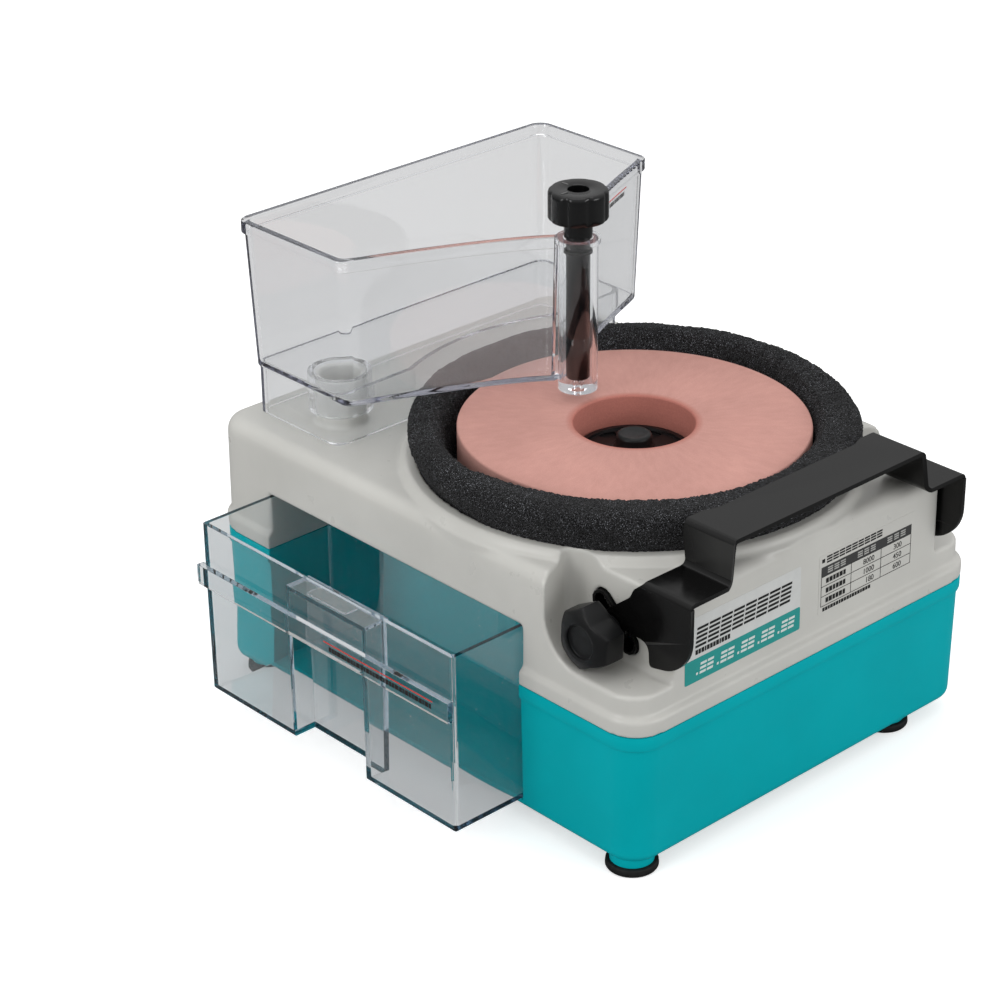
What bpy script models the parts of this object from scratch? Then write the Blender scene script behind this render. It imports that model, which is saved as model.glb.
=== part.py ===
"""Wet grinding sharpener: horizontal water stone, tank with tap, clear waste drawer, tool rest.

Metres, +Z up. The stone turns about the Z axis through the point (SX, SY). The ground is z = 0.
+X runs along the labelled front, the drawer opens towards -X and the tank stands at +Y.
"""
import math

import bmesh
import bpy
from mathutils import Matrix, Vector

MM = 0.001
GAP = 0.3            # clearance between neighbouring pieces, mm

# ---- driving dimensions, mm -------------------------------------------------
STONE_OD = 180.0
STONE_BORE = 62.0
STONE_TOP = 164.0
STONE_THICK = 29.5
SX = 16.2            # stone axis position in the part frame
SY = -30.8

HALF_W = 124.4       # half width over the seam flange
Y_FRONT = -125.4
Y_BACK = 193.0
CORNER = 18.0
BASE_BOTTOM = 8.0
SEAM = 80.0
COVER_TOP = 144.0
WALL = 3.0

WELL_R = 110.5
WELL_WALL = 2.4
WELL_FLOOR = 119.5
LIP_TOP = 148.5

OPEN_Y0 = -46.0      # drawer opening in the left side
OPEN_Y1 = 147.4
OPEN_Z0 = 12.8
OPEN_Z1 = 111.6
BAY_X = -43.8        # deep wall of the drawer bay

DRAWER_X0 = -166.0   # drawer pulled out 38 mm
DRAWER_X1 = -83.0
DRAWER_Y0 = -45.4
DRAWER_Y1 = 146.8
DRAWER_Z0 = 13.1
DRAWER_Z1 = 111.0
RECESS_Y0 = 21.6
RECESS_Y1 = 78.0
RECESS_TOP = 100.4
BAND_Z0 = 75.8
BAND_Z1 = 87.0

TAP_Y = 41.0
TANK_FLOOR = 171.0
TANK_TOP = 252.0
TANK_HALF = 108.0
TANK_BACK = 182.0
POST_X = 78.0
POST_Y = 138.0

REST_Z = 170.3       # top face of the tool rest bar
REST_FRONT = -132.5
STUD_Y = -84.0
STUD_Z = 117.3
SLOT_TOP = (-73.9, 126.4)
SLOT_LOW = (-91.5, 110.5)
SHEET = 2.3

MOTOR_X = 66.0
MOTOR_Y = 118.0
FEET = ((-108.5, -108.5), (80.0, -106.0), (-104.0, 172.0), (104.0, 172.0))


# ---- materials --------------------------------------------------------------
def material(name, rgb, rough, metal=0.0):
    mat = bpy.data.materials.get(name)
    if mat is None:
        mat = bpy.data.materials.new(name)
        mat.use_nodes = True
        node = mat.node_tree.nodes["Principled BSDF"]
        node.inputs["Base Color"].default_value = (rgb[0], rgb[1], rgb[2], 1.0)
        node.inputs["Roughness"].default_value = rough
        node.inputs["Metallic"].default_value = metal
    return mat


def teal():
    return material("teal_abs", (0.0, 0.33, 0.37), 0.35)


def grey():
    return material("grey_abs", (0.56, 0.56, 0.52), 0.3)


def clear():
    return material("clear_styrene", (0.80, 0.83, 0.86), 0.08)


def black_paint():
    return material("black_paint", (0.02, 0.02, 0.02), 0.35)


def black_plastic():
    return material("black_plastic", (0.02, 0.022, 0.025), 0.45)


def rubber():
    return material("black_rubber", (0.015, 0.015, 0.015), 0.8)


def foam():
    return material("charcoal_foam", (0.03, 0.03, 0.032), 0.95)


def ceramic():
    return material("pink_stone", (0.62, 0.33, 0.27), 0.85)


def steel():
    return material("bright_steel", (0.6, 0.6, 0.6), 0.3, 1.0)


def alloy():
    return material("cast_alloy", (0.62, 0.63, 0.64), 0.45, 1.0)


def board():
    return material("green_board", (0.02, 0.17, 0.07), 0.5)


def white_film():
    return material("white_film", (0.85, 0.85, 0.85), 0.4)


# ---- mesh helpers -----------------------------------------------------------
def new_object(name, bm, mat, origin=(0.0, 0.0, 0.0)):
    """Turn a bmesh in mm, centred on the stone axis, into an object whose origin is at origin."""
    bmesh.ops.remove_doubles(bm, verts=bm.verts, dist=0.0005)
    bmesh.ops.recalc_face_normals(bm, faces=bm.faces)
    at = Vector(origin)
    for vert in bm.verts:
        vert.co = (vert.co - at) * MM
    mesh = bpy.data.meshes.new(name)
    bm.to_mesh(mesh)
    bm.free()
    mesh.materials.append(mat)
    obj = bpy.data.objects.new(name, mesh)
    obj.location = ((at.x + SX) * MM, (at.y + SY) * MM, at.z * MM)
    bpy.context.scene.collection.objects.link(obj)
    return obj


def loft(name, loops, mat, origin=(0.0, 0.0, 0.0)):
    """Closed solid through equal-length loops of points, capped at both ends."""
    bm = bmesh.new()
    rings = [[bm.verts.new(p) for p in loop] for loop in loops]
    count = len(rings[0])
    for low, high in zip(rings, rings[1:]):
        for i in range(count):
            j = (i + 1) % count
            bm.faces.new((low[i], low[j], high[j], high[i]))
    bm.faces.new(list(reversed(rings[0])))
    bm.faces.new(rings[-1])
    return new_object(name, bm, mat, origin)


def rounded(x0, x1, y0, y1, radius, z, steps=5):
    """Rounded rectangle, counter-clockwise, at height z."""
    pts = []
    corners = ((x1 - radius, y1 - radius, 0), (x0 + radius, y1 - radius, 90),
               (x0 + radius, y0 + radius, 180), (x1 - radius, y0 + radius, 270))
    for cx, cy, start in corners:
        for k in range(steps + 1):
            a = math.radians(start + 90.0 * k / steps)
            pts.append((cx + radius * math.cos(a), cy + radius * math.sin(a), z))
    return pts


def block(name, x0, x1, y0, y1, z0, z1, mat, origin=(0.0, 0.0, 0.0)):
    low = [(x0, y0, z0), (x1, y0, z0), (x1, y1, z0), (x0, y1, z0)]
    high = [(x, y, z1) for x, y, _ in low]
    return loft(name, (low, high), mat, origin)


def frame_point(axis, centre, along, r, a):
    """Point at angle a and radius r round an axis (X, Y or Z), at the given place along it."""
    cx, cy, cz = centre
    u = r * math.cos(a)
    v = r * math.sin(a)
    if axis == "Z":
        return (cx + u, cy + v, along)
    if axis == "X":
        return (along, cy + u, cz + v)
    return (cx + v, along, cz + u)


def turned(name, axis, centre, profile, mat, sides=24, origin=(0.0, 0.0, 0.0), phase=0.0):
    """Solid of revolution from (radius, along) pairs; a closed ring if no radius is zero."""
    bm = bmesh.new()
    ringed = min(r for r, _ in profile) > 0.0
    rings = []
    for r, along in profile:
        if r == 0.0:
            rings.append([bm.verts.new(frame_point(axis, centre, along, 0.0, 0.0))])
            continue
        angles = [2.0 * math.pi * (k + phase) / sides for k in range(sides)]
        rings.append([bm.verts.new(frame_point(axis, centre, along, r, a)) for a in angles])
    pairs = list(zip(rings, rings[1:]))
    if ringed:
        pairs.append((rings[-1], rings[0]))
    for one, two in pairs:
        for i in range(sides):
            j = (i + 1) % sides
            if len(one) == 1:
                bm.faces.new((one[0], two[i], two[j]))
            elif len(two) == 1:
                bm.faces.new((one[i], one[j], two[0]))
            else:
                bm.faces.new((one[i], one[j], two[j], two[i]))
    return new_object(name, bm, mat, origin)


def rod(name, axis, centre, r, a, b, mat, sides=24, origin=(0.0, 0.0, 0.0)):
    return turned(name, axis, centre, ((0.0, a), (r, a), (r, b), (0.0, b)), mat, sides, origin)


def tube(name, axis, centre, r_in, r_out, a, b, mat, sides=24, origin=(0.0, 0.0, 0.0)):
    profile = ((r_in, a), (r_out, a), (r_out, b), (r_in, b))
    return turned(name, axis, centre, profile, mat, sides, origin)


def weld(mesh):
    """Merge coincident points and split many-sided faces into triangles and quads."""
    bm = bmesh.new()
    bm.from_mesh(mesh)
    bmesh.ops.remove_doubles(bm, verts=bm.verts, dist=2e-6)
    bmesh.ops.dissolve_degenerate(bm, edges=bm.edges, dist=1e-6)
    large = [f for f in bm.faces if len(f.verts) > 4]
    bmesh.ops.triangulate(bm, faces=large)
    bm.to_mesh(mesh)
    bm.free()


def combine(obj, tools, operation):
    """Apply one exact Boolean per tool and remove the tools."""
    for tool in tools:
        mod = obj.modifiers.new("bool", "BOOLEAN")
        mod.solver = "EXACT"
        mod.operation = operation
        mod.object = tool
        bpy.context.view_layer.update()
        graph = bpy.context.evaluated_depsgraph_get()
        mesh = bpy.data.meshes.new_from_object(obj.evaluated_get(graph))
        weld(mesh)
        obj.modifiers.clear()
        old = obj.data
        mesh.name = old.name
        obj.data = mesh
        bpy.data.meshes.remove(old)
        bpy.data.objects.remove(tool, do_unlink=True)
    return obj


def cut(obj, *tools):
    return combine(obj, tools, "DIFFERENCE")


def fuse(obj, *tools):
    return combine(obj, tools, "UNION")


# ---- housing ----------------------------------------------------------------
def shell_loop(inset, z, front=0.0, radius=None):
    r = CORNER - inset if radius is None else radius
    return rounded(-HALF_W + inset, HALF_W - inset, Y_FRONT + inset + front, Y_BACK - inset, r, z)


def base_housing():
    mat = teal()
    base = loft("base_housing", (
        shell_loop(7.0, BASE_BOTTOM), shell_loop(4.0, BASE_BOTTOM + 1.2), shell_loop(2.6, BASE_BOTTOM + 5.0),
        shell_loop(1.6, SEAM - 8.5), shell_loop(0.4, SEAM - 6.8), shell_loop(0.2, SEAM - 0.15)), mat)
    hollow = loft("hollow", (shell_loop(6.6, BASE_BOTTOM + 3.4), shell_loop(5.0, SEAM + 5.0)), mat)
    bay = block("bay", -140.0, BAY_X + 2.6, OPEN_Y0 - 2.6, OPEN_Y1 + 2.6, 0.0, SEAM + 9.0, mat)
    cut(hollow, bay)
    cut(base, hollow)
    inside = block("inside", -140.0, BAY_X, OPEN_Y0, OPEN_Y1, OPEN_Z0, SEAM + 9.0, mat)
    cut(base, inside)
    for x, y in FEET:
        boss = rod("boss", "Z", (x, y, 0.0), 11.0, 4.3, BASE_BOTTOM + 2.0, mat, 16)
        fuse(base, boss)
        cut(base, rod("pilot", "Z", (x, y, 0.0), 1.9, 3.0, 9.0, mat, 8))
    return base


def pocket_loops(side, grow):
    """Plan outlines of a front corner pocket, floor upwards; grow offsets the walls."""
    curve = 24.0
    levels = []
    for k in range(5):
        t = math.radians(90.0 - 22.5 * k)
        levels.append((124.0 - curve * math.sin(t), curve * math.cos(t) - curve))
    levels.append((156.0, 0.0))
    loops = []
    for z, shift in levels:
        x = -95.0 + grow
        y = shift + grow
        pts = [(x, -140.0), (x, y - 61.0), (x - 4.0, y - 52.5), (-135.0, y - 66.4), (-135.0, -140.0)]
        if side > 0:
            pts = [(-px, py) for px, py in reversed(pts)]
        loops.append([(px, py, z - grow) for px, py in pts])
    return loops


def slot_solid(name, side, radius, x0, x1, mat):
    """Slanted bar with round ends that follows the slot of a clamp, between two X planes."""
    lean = math.atan2(SLOT_TOP[1] - SLOT_LOW[1], SLOT_TOP[0] - SLOT_LOW[0])
    ring = []
    for (y, z), turn in ((SLOT_TOP, -90.0), (SLOT_LOW, 90.0)):
        for k in range(7):
            a = lean + math.radians(turn + 30.0 * k)
            ring.append((y + radius * math.cos(a), z + radius * math.sin(a)))
    lo = [(side * x0, y, z) for y, z in ring]
    hi = [(side * x1, y, z) for y, z in ring]
    return loft(name, (lo, hi), mat)


def cover_housing():
    mat = grey()
    cover = loft("cover_housing", (
        shell_loop(0.0, SEAM + 0.15), shell_loop(0.0, SEAM + 7.5), shell_loop(0.9, SEAM + 8.7),
        shell_loop(2.4, SEAM + 9.2, 1.2), shell_loop(2.9, 136.5, 1.4), shell_loop(3.9, 140.6, 1.4),
        shell_loop(6.4, 143.2, 1.4), shell_loop(10.0, COVER_TOP, 1.4, 8.6)), mat)
    lip = turned("lip", "Z", (0, 0, 0), (
        (104.0, 138.0), (119.8, 138.0), (119.8, COVER_TOP + 0.3), (117.8, COVER_TOP + 1.3),
        (117.2, LIP_TOP - 0.7), (116.4, LIP_TOP), (104.0, LIP_TOP)), mat, 72)
    cut(lip, block("trim", -140.0, 140.0, -140.0, -120.6, 130.0, 160.0, mat))
    post = tube("post", "Z", (-POST_X, POST_Y, 0.0), 9.8, 12.3, 139.0, 170.4, mat, 20)
    hollow = loft("hollow", (shell_loop(3.2, 70.0), shell_loop(5.5, 88.0, 1.4), shell_loop(5.9, 137.0, 1.4),
                             shell_loop(11.0, COVER_TOP - WALL, 1.4, 7.0)), mat)
    cut(hollow, rod("basin", "Z", (0, 0, 0), WELL_R + WELL_WALL, WELL_FLOOR - 3.0, 150.0, mat, 72))
    cut(hollow, block("bay", -140.0, BAY_X + 2.6, OPEN_Y0 - 2.6, OPEN_Y1 + 2.6, 60.0, 118.2, mat))
    cut(hollow, loft("pocket", pocket_loops(-1, 2.6), mat), loft("pocket", pocket_loops(1, 2.6), mat))
    fuse(cover, lip)
    cut(cover, hollow)
    cut(cover, block("inside", -140.0, BAY_X, OPEN_Y0, OPEN_Y1, 60.0, OPEN_Z1, mat))
    cut(cover, loft("pocket", pocket_loops(-1, 0.0), mat), loft("pocket", pocket_loops(1, 0.0), mat))
    cut(cover, rod("well", "Z", (0, 0, 0), WELL_R, WELL_FLOOR, 160.0, mat, 72))
    hub = rod("hub", "Z", (0, 0, 0), 18.0, 118.0, 128.5, mat, 24)
    fuse(cover, hub)
    cut(cover, rod("bore", "Z", (0, 0, 0), 14.0, 110.0, 140.0, mat, 24))
    cut(cover, rod("drain", "Z", (-72.0, 30.0, 0), 6.0, 110.0, 130.0, mat, 12))
    fuse(cover, post)
    cut(cover, slot_solid("slot", -1, 6.2, 90.0, 100.0, mat), slot_solid("slot", 1, 6.2, 90.0, 100.0, mat))
    cut(cover, rod("dial_hole", "X", (0, -35.0, 103.0), 4.2, 112.0, 130.0, mat, 12))
    cut(cover, block("switch_hole", 112.0, 130.0, 5.0, 25.0, 94.5, 109.5, mat))
    cut(cover, rod("cord_hole", "Y", (82.0, 0, 103.0), 6.4, 180.0, 200.0, mat, 12))
    for k in range(3):
        a = math.radians(90 + 120 * k)
        cut(cover, rod("tap", "Z", (24 * math.cos(a), 24 * math.sin(a), 0), 1.7, 112.0, 118.2, mat, 8))
    return cover


def splash_ring():
    profile = ((92.5, 119.8), (109.9, 119.8), (110.0, 148.6), (112.0, 151.0), (114.4, 158.0), (115.0, 162.5),
               (113.0, 166.2), (108.6, 167.6), (102.0, 167.6), (99.0, 166.0), (94.0, 158.5))
    return turned("splash_ring", "Z", (0, 0, 0), profile, foam(), 40)


def feet():
    for k, (x, y) in enumerate(FEET):
        turned("foot_%d" % (k + 1), "Z", (x, y, 0), ((3.0, 1.6), (6.2, 1.6), (6.2, 0.0), (12.6, 0.0), (13.2, 0.8),
               (12.8, 4.0), (3.0, 4.0)), rubber(), 20)
        turned("foot_screw_%d" % (k + 1), "Z", (x, y, 0), ((0.0, 0.4), (5.0, 0.4), (5.0, 1.3), (1.6, 1.35),
               (1.6, 8.6), (0.0, 8.6)), steel(), 10)


# ---- drive train ------------------------------------------------------------
def spindle_group():
    rod("spindle", "Z", (0, 0, 0), 6.0, 20.0, 148.0, steel(), 20)
    disc = turned("turntable", "Z", (0, 0, 0), ((6.3, 129.2), (55.0, 129.2), (56.0, 130.2), (56.0, 133.8),
                  (55.5, 134.2), (6.3, 134.2)), alloy(), 32)
    stone = turned("grinding_stone", "Z", (0, 0, 0), (
        (STONE_BORE / 2, STONE_TOP - STONE_THICK), (STONE_OD / 2 - 1, STONE_TOP - STONE_THICK),
        (STONE_OD / 2, STONE_TOP - STONE_THICK + 1), (STONE_OD / 2, STONE_TOP - 0.8),
        (STONE_OD / 2 - 0.8, STONE_TOP), (STONE_BORE / 2 + 0.6, STONE_TOP),
        (STONE_BORE / 2, STONE_TOP - 0.6)), ceramic(), 64)
    hub = turned("stone_hub", "Z", (0, 0, 0), ((6.3, 134.5), (30.6, 134.5), (30.6, 146.8), (29.0, 148.4),
                 (6.3, 148.4)), black_plastic(), 32)
    turned("centre_button", "Z", (0, 0, 0), ((0.0, 148.7), (10.6, 148.7), (10.6, 150.4), (9.2, 151.0),
           (9.2, 156.3), (8.0, 157.5), (0.0, 157.5)), black_plastic(), 24)
    turned("driven_pulley", "Z", (0, 0, 0), ((6.3, 24.0), (33.0, 24.0), (33.0, 25.5), (31.0, 26.2), (31.0, 33.8),
           (33.0, 34.5), (33.0, 36.0), (6.3, 36.0)), black_plastic(), 28)
    return disc, stone, hub


def bearings():
    turned("bearing_housing", "Z", (0, 0, 0), ((14.3, 48.0), (19.0, 48.0), (19.0, 110.0), (31.0, 112.0),
           (31.0, 116.2), (14.3, 116.2)), alloy(), 24)
    housing = bpy.data.objects["bearing_housing"]
    for k in range(3):
        a = math.radians(90 + 120 * k)
        x = 24 * math.cos(a)
        y = 24 * math.sin(a)
        cut(housing, rod("hole", "Z", (x, y, 0), 2.0, 100.0, 120.0, alloy(), 8))
        turned("housing_screw_%d" % (k + 1), "Z", (x, y, 0), ((0.0, 107.0), (3.2, 107.0), (3.2, 110.2),
               (1.4, 110.2), (1.4, 117.6), (0.0, 117.6)), steel(), 8)
        cut(housing, rod("seat", "Z", (x, y, 0), 4.0, 104.0, 110.5, alloy(), 10))
    for name, z in (("bearing_lower", 50.0), ("bearing_upper", 104.0)):
        turned(name, "Z", (0, 0, 0), ((6.3, z), (8.4, z), (8.4, z + 0.8), (12.0, z + 0.8), (12.0, z), (14.0, z),
               (14.0, z + 8.0), (6.3, z + 8.0)), steel(), 20)
    turned("spindle_seal", "Z", (0, 0, 0), ((6.3, 120.5), (13.7, 120.5), (13.7, 127.0), (9.0, 127.0),
           (7.4, 128.8), (6.3, 128.8)), rubber(), 20)


def motor():
    c = (MOTOR_X, MOTOR_Y, 0.0)
    can = turned("motor_can", "Z", c, ((0.0, 44.6), (31.0, 44.6), (33.0, 46.6), (33.0, 96.0), (30.0, 99.0),
                 (0.0, 99.0)), black_paint(), 24)
    cut(can, rod("nose", "Z", c, 3.3, 40.0, 60.0, black_paint(), 12))
    plate = loft("motor_plate", (rounded(MOTOR_X - 48, MOTOR_X + 46, MOTOR_Y - 38, MOTOR_Y + 38, 8, 41.8, 3),
                                 rounded(MOTOR_X - 48, MOTOR_X + 46, MOTOR_Y - 38, MOTOR_Y + 38, 8, 44.2, 3)), steel())
    cut(plate, rod("nose", "Z", c, 9.0, 40.0, 46.0, steel(), 16))
    for k, (dx, dy) in enumerate(((-42, -22), (38, -30), (38, 30), (-40, 30))):
        at = (MOTOR_X + dx, MOTOR_Y + dy, 0.0)
        tube("motor_standoff_%d" % (k + 1), "Z", at, 1.6, 5.0, 11.7, 41.5, black_plastic(), 10)
    rod("motor_shaft", "Z", c, 3.0, 21.0, 59.0, steel(), 12)
    turned("motor_pulley", "Z", c, ((3.3, 24.0), (9.6, 24.0), (9.6, 25.5), (7.8, 26.2), (7.8, 33.8), (9.6, 34.5),
           (9.6, 36.0), (3.3, 36.0)), black_plastic(), 16)


def drive_belt():
    """Flat belt loop round both pulleys, as an open tangent outline with an inner and an outer face."""
    span = math.hypot(MOTOR_X, MOTOR_Y)
    lean = math.atan2(MOTOR_Y, MOTOR_X)
    rings = []
    for grow in (0.3, 1.7):
        big = 31.0 + grow
        small = 7.8 + grow
        open_angle = math.acos((big - small) / span)
        pts = []
        for k in range(15):
            a = lean + open_angle + (2 * math.pi - 2 * open_angle) * k / 14
            pts.append((big * math.cos(a) / math.cos(0.14), big * math.sin(a) / math.cos(0.14)))
        for k in range(7):
            a = lean - open_angle + 2 * open_angle * k / 6
            r = small / math.cos(0.2)
            pts.append((MOTOR_X + r * math.cos(a), MOTOR_Y + r * math.sin(a)))
        rings.append(pts)
    bm = bmesh.new()
    inner, outer = rings
    loops = []
    for pts, z in ((inner, 26.8), (outer, 26.8), (outer, 33.2), (inner, 33.2)):
        loops.append([bm.verts.new((x, y, z)) for x, y in pts])
    n = len(inner)
    for a in range(4):
        one = loops[a]
        two = loops[(a + 1) % 4]
        for i in range(n):
            j = (i + 1) % n
            bm.faces.new((one[i], one[j], two[j], two[i]))
    new_object("drive_belt", bm, rubber())


# ---- electrics --------------------------------------------------------------
def electrics():
    pcb = block("control_pcb", 100.0, 101.6, -80.0, -2.0, 11.7, 72.0, board())
    cut(pcb, rod("hole", "X", (0, -76.0, 66.0), 1.6, 99.0, 103.0, board(), 8))
    sink = block("heat_sink", 84.0, 99.7, -70.0, -38.0, 11.7, 60.0, alloy())
    for k in range(4):
        y = -66.0 + 8.0 * k
        cut(sink, block("fin", 80.0, 95.5, y, y + 4.0, 10.0, 90.0, alloy()))
    block("terminal_block", 60.0, 84.0, -20.0, 10.0, 11.7, 26.0, white_film())
    turned("speed_pot", "X", (0, -35.0, 103.0), ((0.0, 104.0), (8.0, 104.0), (8.0, 113.5), (3.6, 113.5),
           (3.6, 131.0), (0.0, 131.0)), steel(), 16)
    dial = turned("speed_dial", "X", (0, -35.0, 103.0), ((0.0, 137.2), (11.0, 137.2), (12.0, 136.2),
                  (13.6, 123.4), (4.0, 123.4), (4.0, 131.5), (0.0, 131.5)), black_plastic(), 24,
                  (124.0, -35.0, 103.0))
    cut(dial, block("mark", 136.4, 139.0, -35.8, -34.2, 106.0, 118.0, black_plastic()))
    body = block("switch_body", 104.0, 122.6, 5.4, 24.6, 94.9, 109.1, black_plastic())
    fuse(body, block("bezel", 122.3, 124.2, 2.6, 27.4, 92.4, 111.6, black_plastic()))
    cut(body, block("well", 114.0, 130.0, 7.4, 22.6, 96.9, 107.1, black_plastic()))
    tilt = math.radians(6.0)
    ring = []
    for out, side in ((5.6, -6.8), (4.0, 0.0), (5.6, 6.8), (-1.0, 6.2), (-4.5, 0.0), (-1.0, -6.2)):
        ring.append((121.0 + out * math.cos(tilt) - side * math.sin(tilt),
                     15.0 + out * math.sin(tilt) + side * math.cos(tilt)))
    rocker = loft("power_rocker", ([(x, y, 97.3) for x, y in ring], [(x, y, 106.7) for x, y in ring]),
                  black_plastic(), (121.0, 15.0, 102.0))
    turned("cord_gland", "Y", (82.0, 0, 103.0), ((3.6, 182.0), (6.0, 182.0), (6.0, 190.9), (10.0, 190.9),
           (10.0, 193.4), (8.6, 194.6), (6.4, 196.6), (3.6, 196.6)), rubber(), 16)
    return dial, rocker


# ---- drawer -----------------------------------------------------------------
def drawer():
    mat = clear()
    x0, x1, y0, y1 = DRAWER_X0, DRAWER_X1, DRAWER_Y0, DRAWER_Y1
    body = loft("waste_drawer", (
        rounded(x0 + 1.0, x1 - 1.0, y0 + 1.0, y1 - 1.0, 1.0, DRAWER_Z0, 2),
        rounded(x0 + 0.3, x1 - 0.3, y0 + 0.3, y1 - 0.3, 1.5, DRAWER_Z0 + 0.8, 2),
        rounded(x0, x1, y0, y1, 1.6, DRAWER_Z0 + 60.0, 2),
        rounded(x0, x1, y0, y1, 1.6, DRAWER_Z1, 2)), mat)
    inner = loft("inner", (
        rounded(x0 + 2.9, x1 - 2.9, y0 + 2.9, y1 - 2.9, 1.2, DRAWER_Z0 + 2.5, 2),
        rounded(x0 + 2.4, x1 - 2.4, y0 + 2.4, y1 - 2.4, 1.2, DRAWER_Z1 + 4.0, 2)), mat)
    cut(inner, block("keep", x0 - 5.0, x0 + 15.9, RECESS_Y0 - 2.4, RECESS_Y1 + 2.4, 0.0, RECESS_TOP, mat))
    cut(body, inner)
    band = block("band", x0 - 3.0, x0 + 1.2, y0 + 0.6, y1 + 2.7, BAND_Z0, BAND_Z1, mat)
    fuse(body, band)
    cut(body, block("recess", x0 - 9.0, x0 + 13.5, RECESS_Y0, RECESS_Y1, 0.0, BAND_Z0, mat))
    cut(body, block("hook", x0 + 2.4, x0 + 13.5, RECESS_Y0, RECESS_Y1, 70.0, RECESS_TOP - 2.4, mat))
    block("drawer_label", x0 - 3.6, x0 - 3.25, -34.0, 44.0, BAND_Z0 + 1.2, BAND_Z1 - 1.4, white_film())
    return body


# ---- water tank -------------------------------------------------------------
def tank_loop(inset, z):
    """Tank outline: straight back and sides, bell-shaped front that closes on the tap."""
    half = TANK_HALF - inset
    back = TANK_BACK - inset
    xs = [6.0, 14.0, 24.0, 38.0, 56.0, 76.0, half - 9.0]
    right = [(x, TAP_Y + inset + 1.889 * x ** 0.73) for x in xs]
    y_side = TAP_Y + inset + 1.889 * half ** 0.73
    right.append((half - 3.0, y_side - 0.2))
    right.append((half - 0.7, y_side + 3.0))
    right.append((half, y_side + 8.0))
    r = 8.0 - 0.5 * inset
    for k in range(4):
        a = math.radians(30.0 * k)
        right.append((half - r + r * math.cos(a), back - r + r * math.sin(a)))
    left = [(-x, y) for x, y in reversed(right)]
    return [(x, y, z) for x, y in right + left]


def skirt_loop(inset, z):
    """Foot outline under the tank: its front bows round the splash ring."""
    half = 102.4 - inset
    back = 178.0 - inset
    bow = 123.5 + inset
    front = 112.5 + inset
    edge = math.sqrt(bow ** 2 - front ** 2)
    pts = [(-half, front), (-edge, front)]
    start = math.atan2(front, -edge)
    stop = math.atan2(front, edge)
    for k in range(1, 10):
        a = start + (stop - start) * k / 10
        pts.append((bow * math.cos(a), bow * math.sin(a)))
    pts += [(edge, front), (half, front), (half, back - 6.0), (half - 6.0, back)]
    pts += [(6.0 - half, back), (-half, back - 6.0)]
    return [(x, y, z) for x, y in pts]


def water_tank():
    mat = clear()
    wall = 2.4
    tank = loft("water_tank", (tank_loop(4.2, TANK_FLOOR), tank_loop(1.5, TANK_TOP - 7.0),
                               tank_loop(0.0, TANK_TOP - 6.4), tank_loop(0.0, TANK_TOP)), mat)
    cut(tank, loft("well", (tank_loop(4.2 + wall, TANK_FLOOR + 2.5), tank_loop(1.5 + wall, TANK_TOP + 1.0)), mat))
    fuse(tank, rod("tube", "Z", (0, TAP_Y, 0), 10.2, TANK_FLOOR - 1.5, TANK_TOP + 0.1, mat, 20))
    fuse(tank, rod("flange", "Z", (0, TAP_Y, 0), 11.5, TANK_TOP - 2.2, TANK_TOP + 0.25, mat, 20))
    fuse(tank, rod("spout", "Z", (0, TAP_Y, 0), 3.2, 166.0, TANK_FLOOR + 1.0, mat, 10))
    fuse(tank, loft("skirt", (skirt_loop(0.0, COVER_TOP + 0.3), skirt_loop(0.0, TANK_FLOOR + 1.0)), mat))
    cut(tank, rod("bore", "Z", (0, TAP_Y, 0), 7.7, TANK_FLOOR + 3.5, TANK_TOP + 3.0, mat, 20))
    cut(tank, rod("hole", "Z", (0, TAP_Y, 0), 1.6, 160.0, TANK_FLOOR + 5.0, mat, 10))
    cut(tank, block("feed", -2.0, 2.0, TAP_Y + 5.0, TAP_Y + 16.0, TANK_FLOOR + 3.1, TANK_FLOOR + 12.0, mat))
    cut(tank, loft("under", (skirt_loop(wall, 130.0), skirt_loop(wall, TANK_FLOOR + 0.2)), mat))
    at = (-POST_X, POST_Y, 0.0)
    fuse(tank, tube("socket", "Z", at, 12.8, 16.2, 152.0, TANK_FLOOR + 0.9, mat, 20))
    return tank


def tap():
    c = (0.0, TAP_Y, 0.0)
    at = (0.0, TAP_Y, 176.0)
    turned("tap_rod", "Z", c, ((0.0, 175.6), (5.6, 175.6), (6.2, 176.4), (6.2, 252.4), (0.0, 252.4)),
           black_plastic(), 16, at)
    tube("tap_seal", "Z", c, 6.5, 7.4, 245.0, 246.4, rubber(), 16, at)
    knob = turned("tap_knob", "Z", c, ((0.0, 252.7), (7.3, 252.7), (7.3, 262.0), (14.6, 262.2), (15.4, 263.4),
                  (15.4, 276.4), (14.2, 278.0), (5.4, 278.0), (5.4, 274.0), (0.0, 274.0)), black_plastic(), 24,
                  (0.0, TAP_Y, 262.0))
    for k in range(8):
        a = math.radians(22.5 + 45.0 * k)
        flute = rod("flute", "Z", (16.3 * math.cos(a), TAP_Y + 16.3 * math.sin(a), 0), 1.7, 260.0, 274.5,
                    black_plastic(), 8)
        cut(knob, flute)


# ---- tool rest --------------------------------------------------------------
def offset_path(path, width):
    """Closed outline of a folded strip that follows path in the XZ plane."""
    left = []
    for k, (x, z) in enumerate(path):
        before = Vector(path[max(k - 1, 0)])
        after = Vector(path[min(k + 1, len(path) - 1)])
        here = Vector((x, z))
        d1 = (here - before).normalized() if k else (after - here).normalized()
        d2 = (after - here).normalized() if k < len(path) - 1 else d1
        mid = (d1 + d2).normalized()
        normal = Vector((mid.y, -mid.x))
        scale = 1.0 / max(0.5, mid.dot(d1))
        left.append(here + normal * width * scale)
    return [(x, z) for x, z in path] + [(p.x, p.y) for p in reversed(left)]


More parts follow.
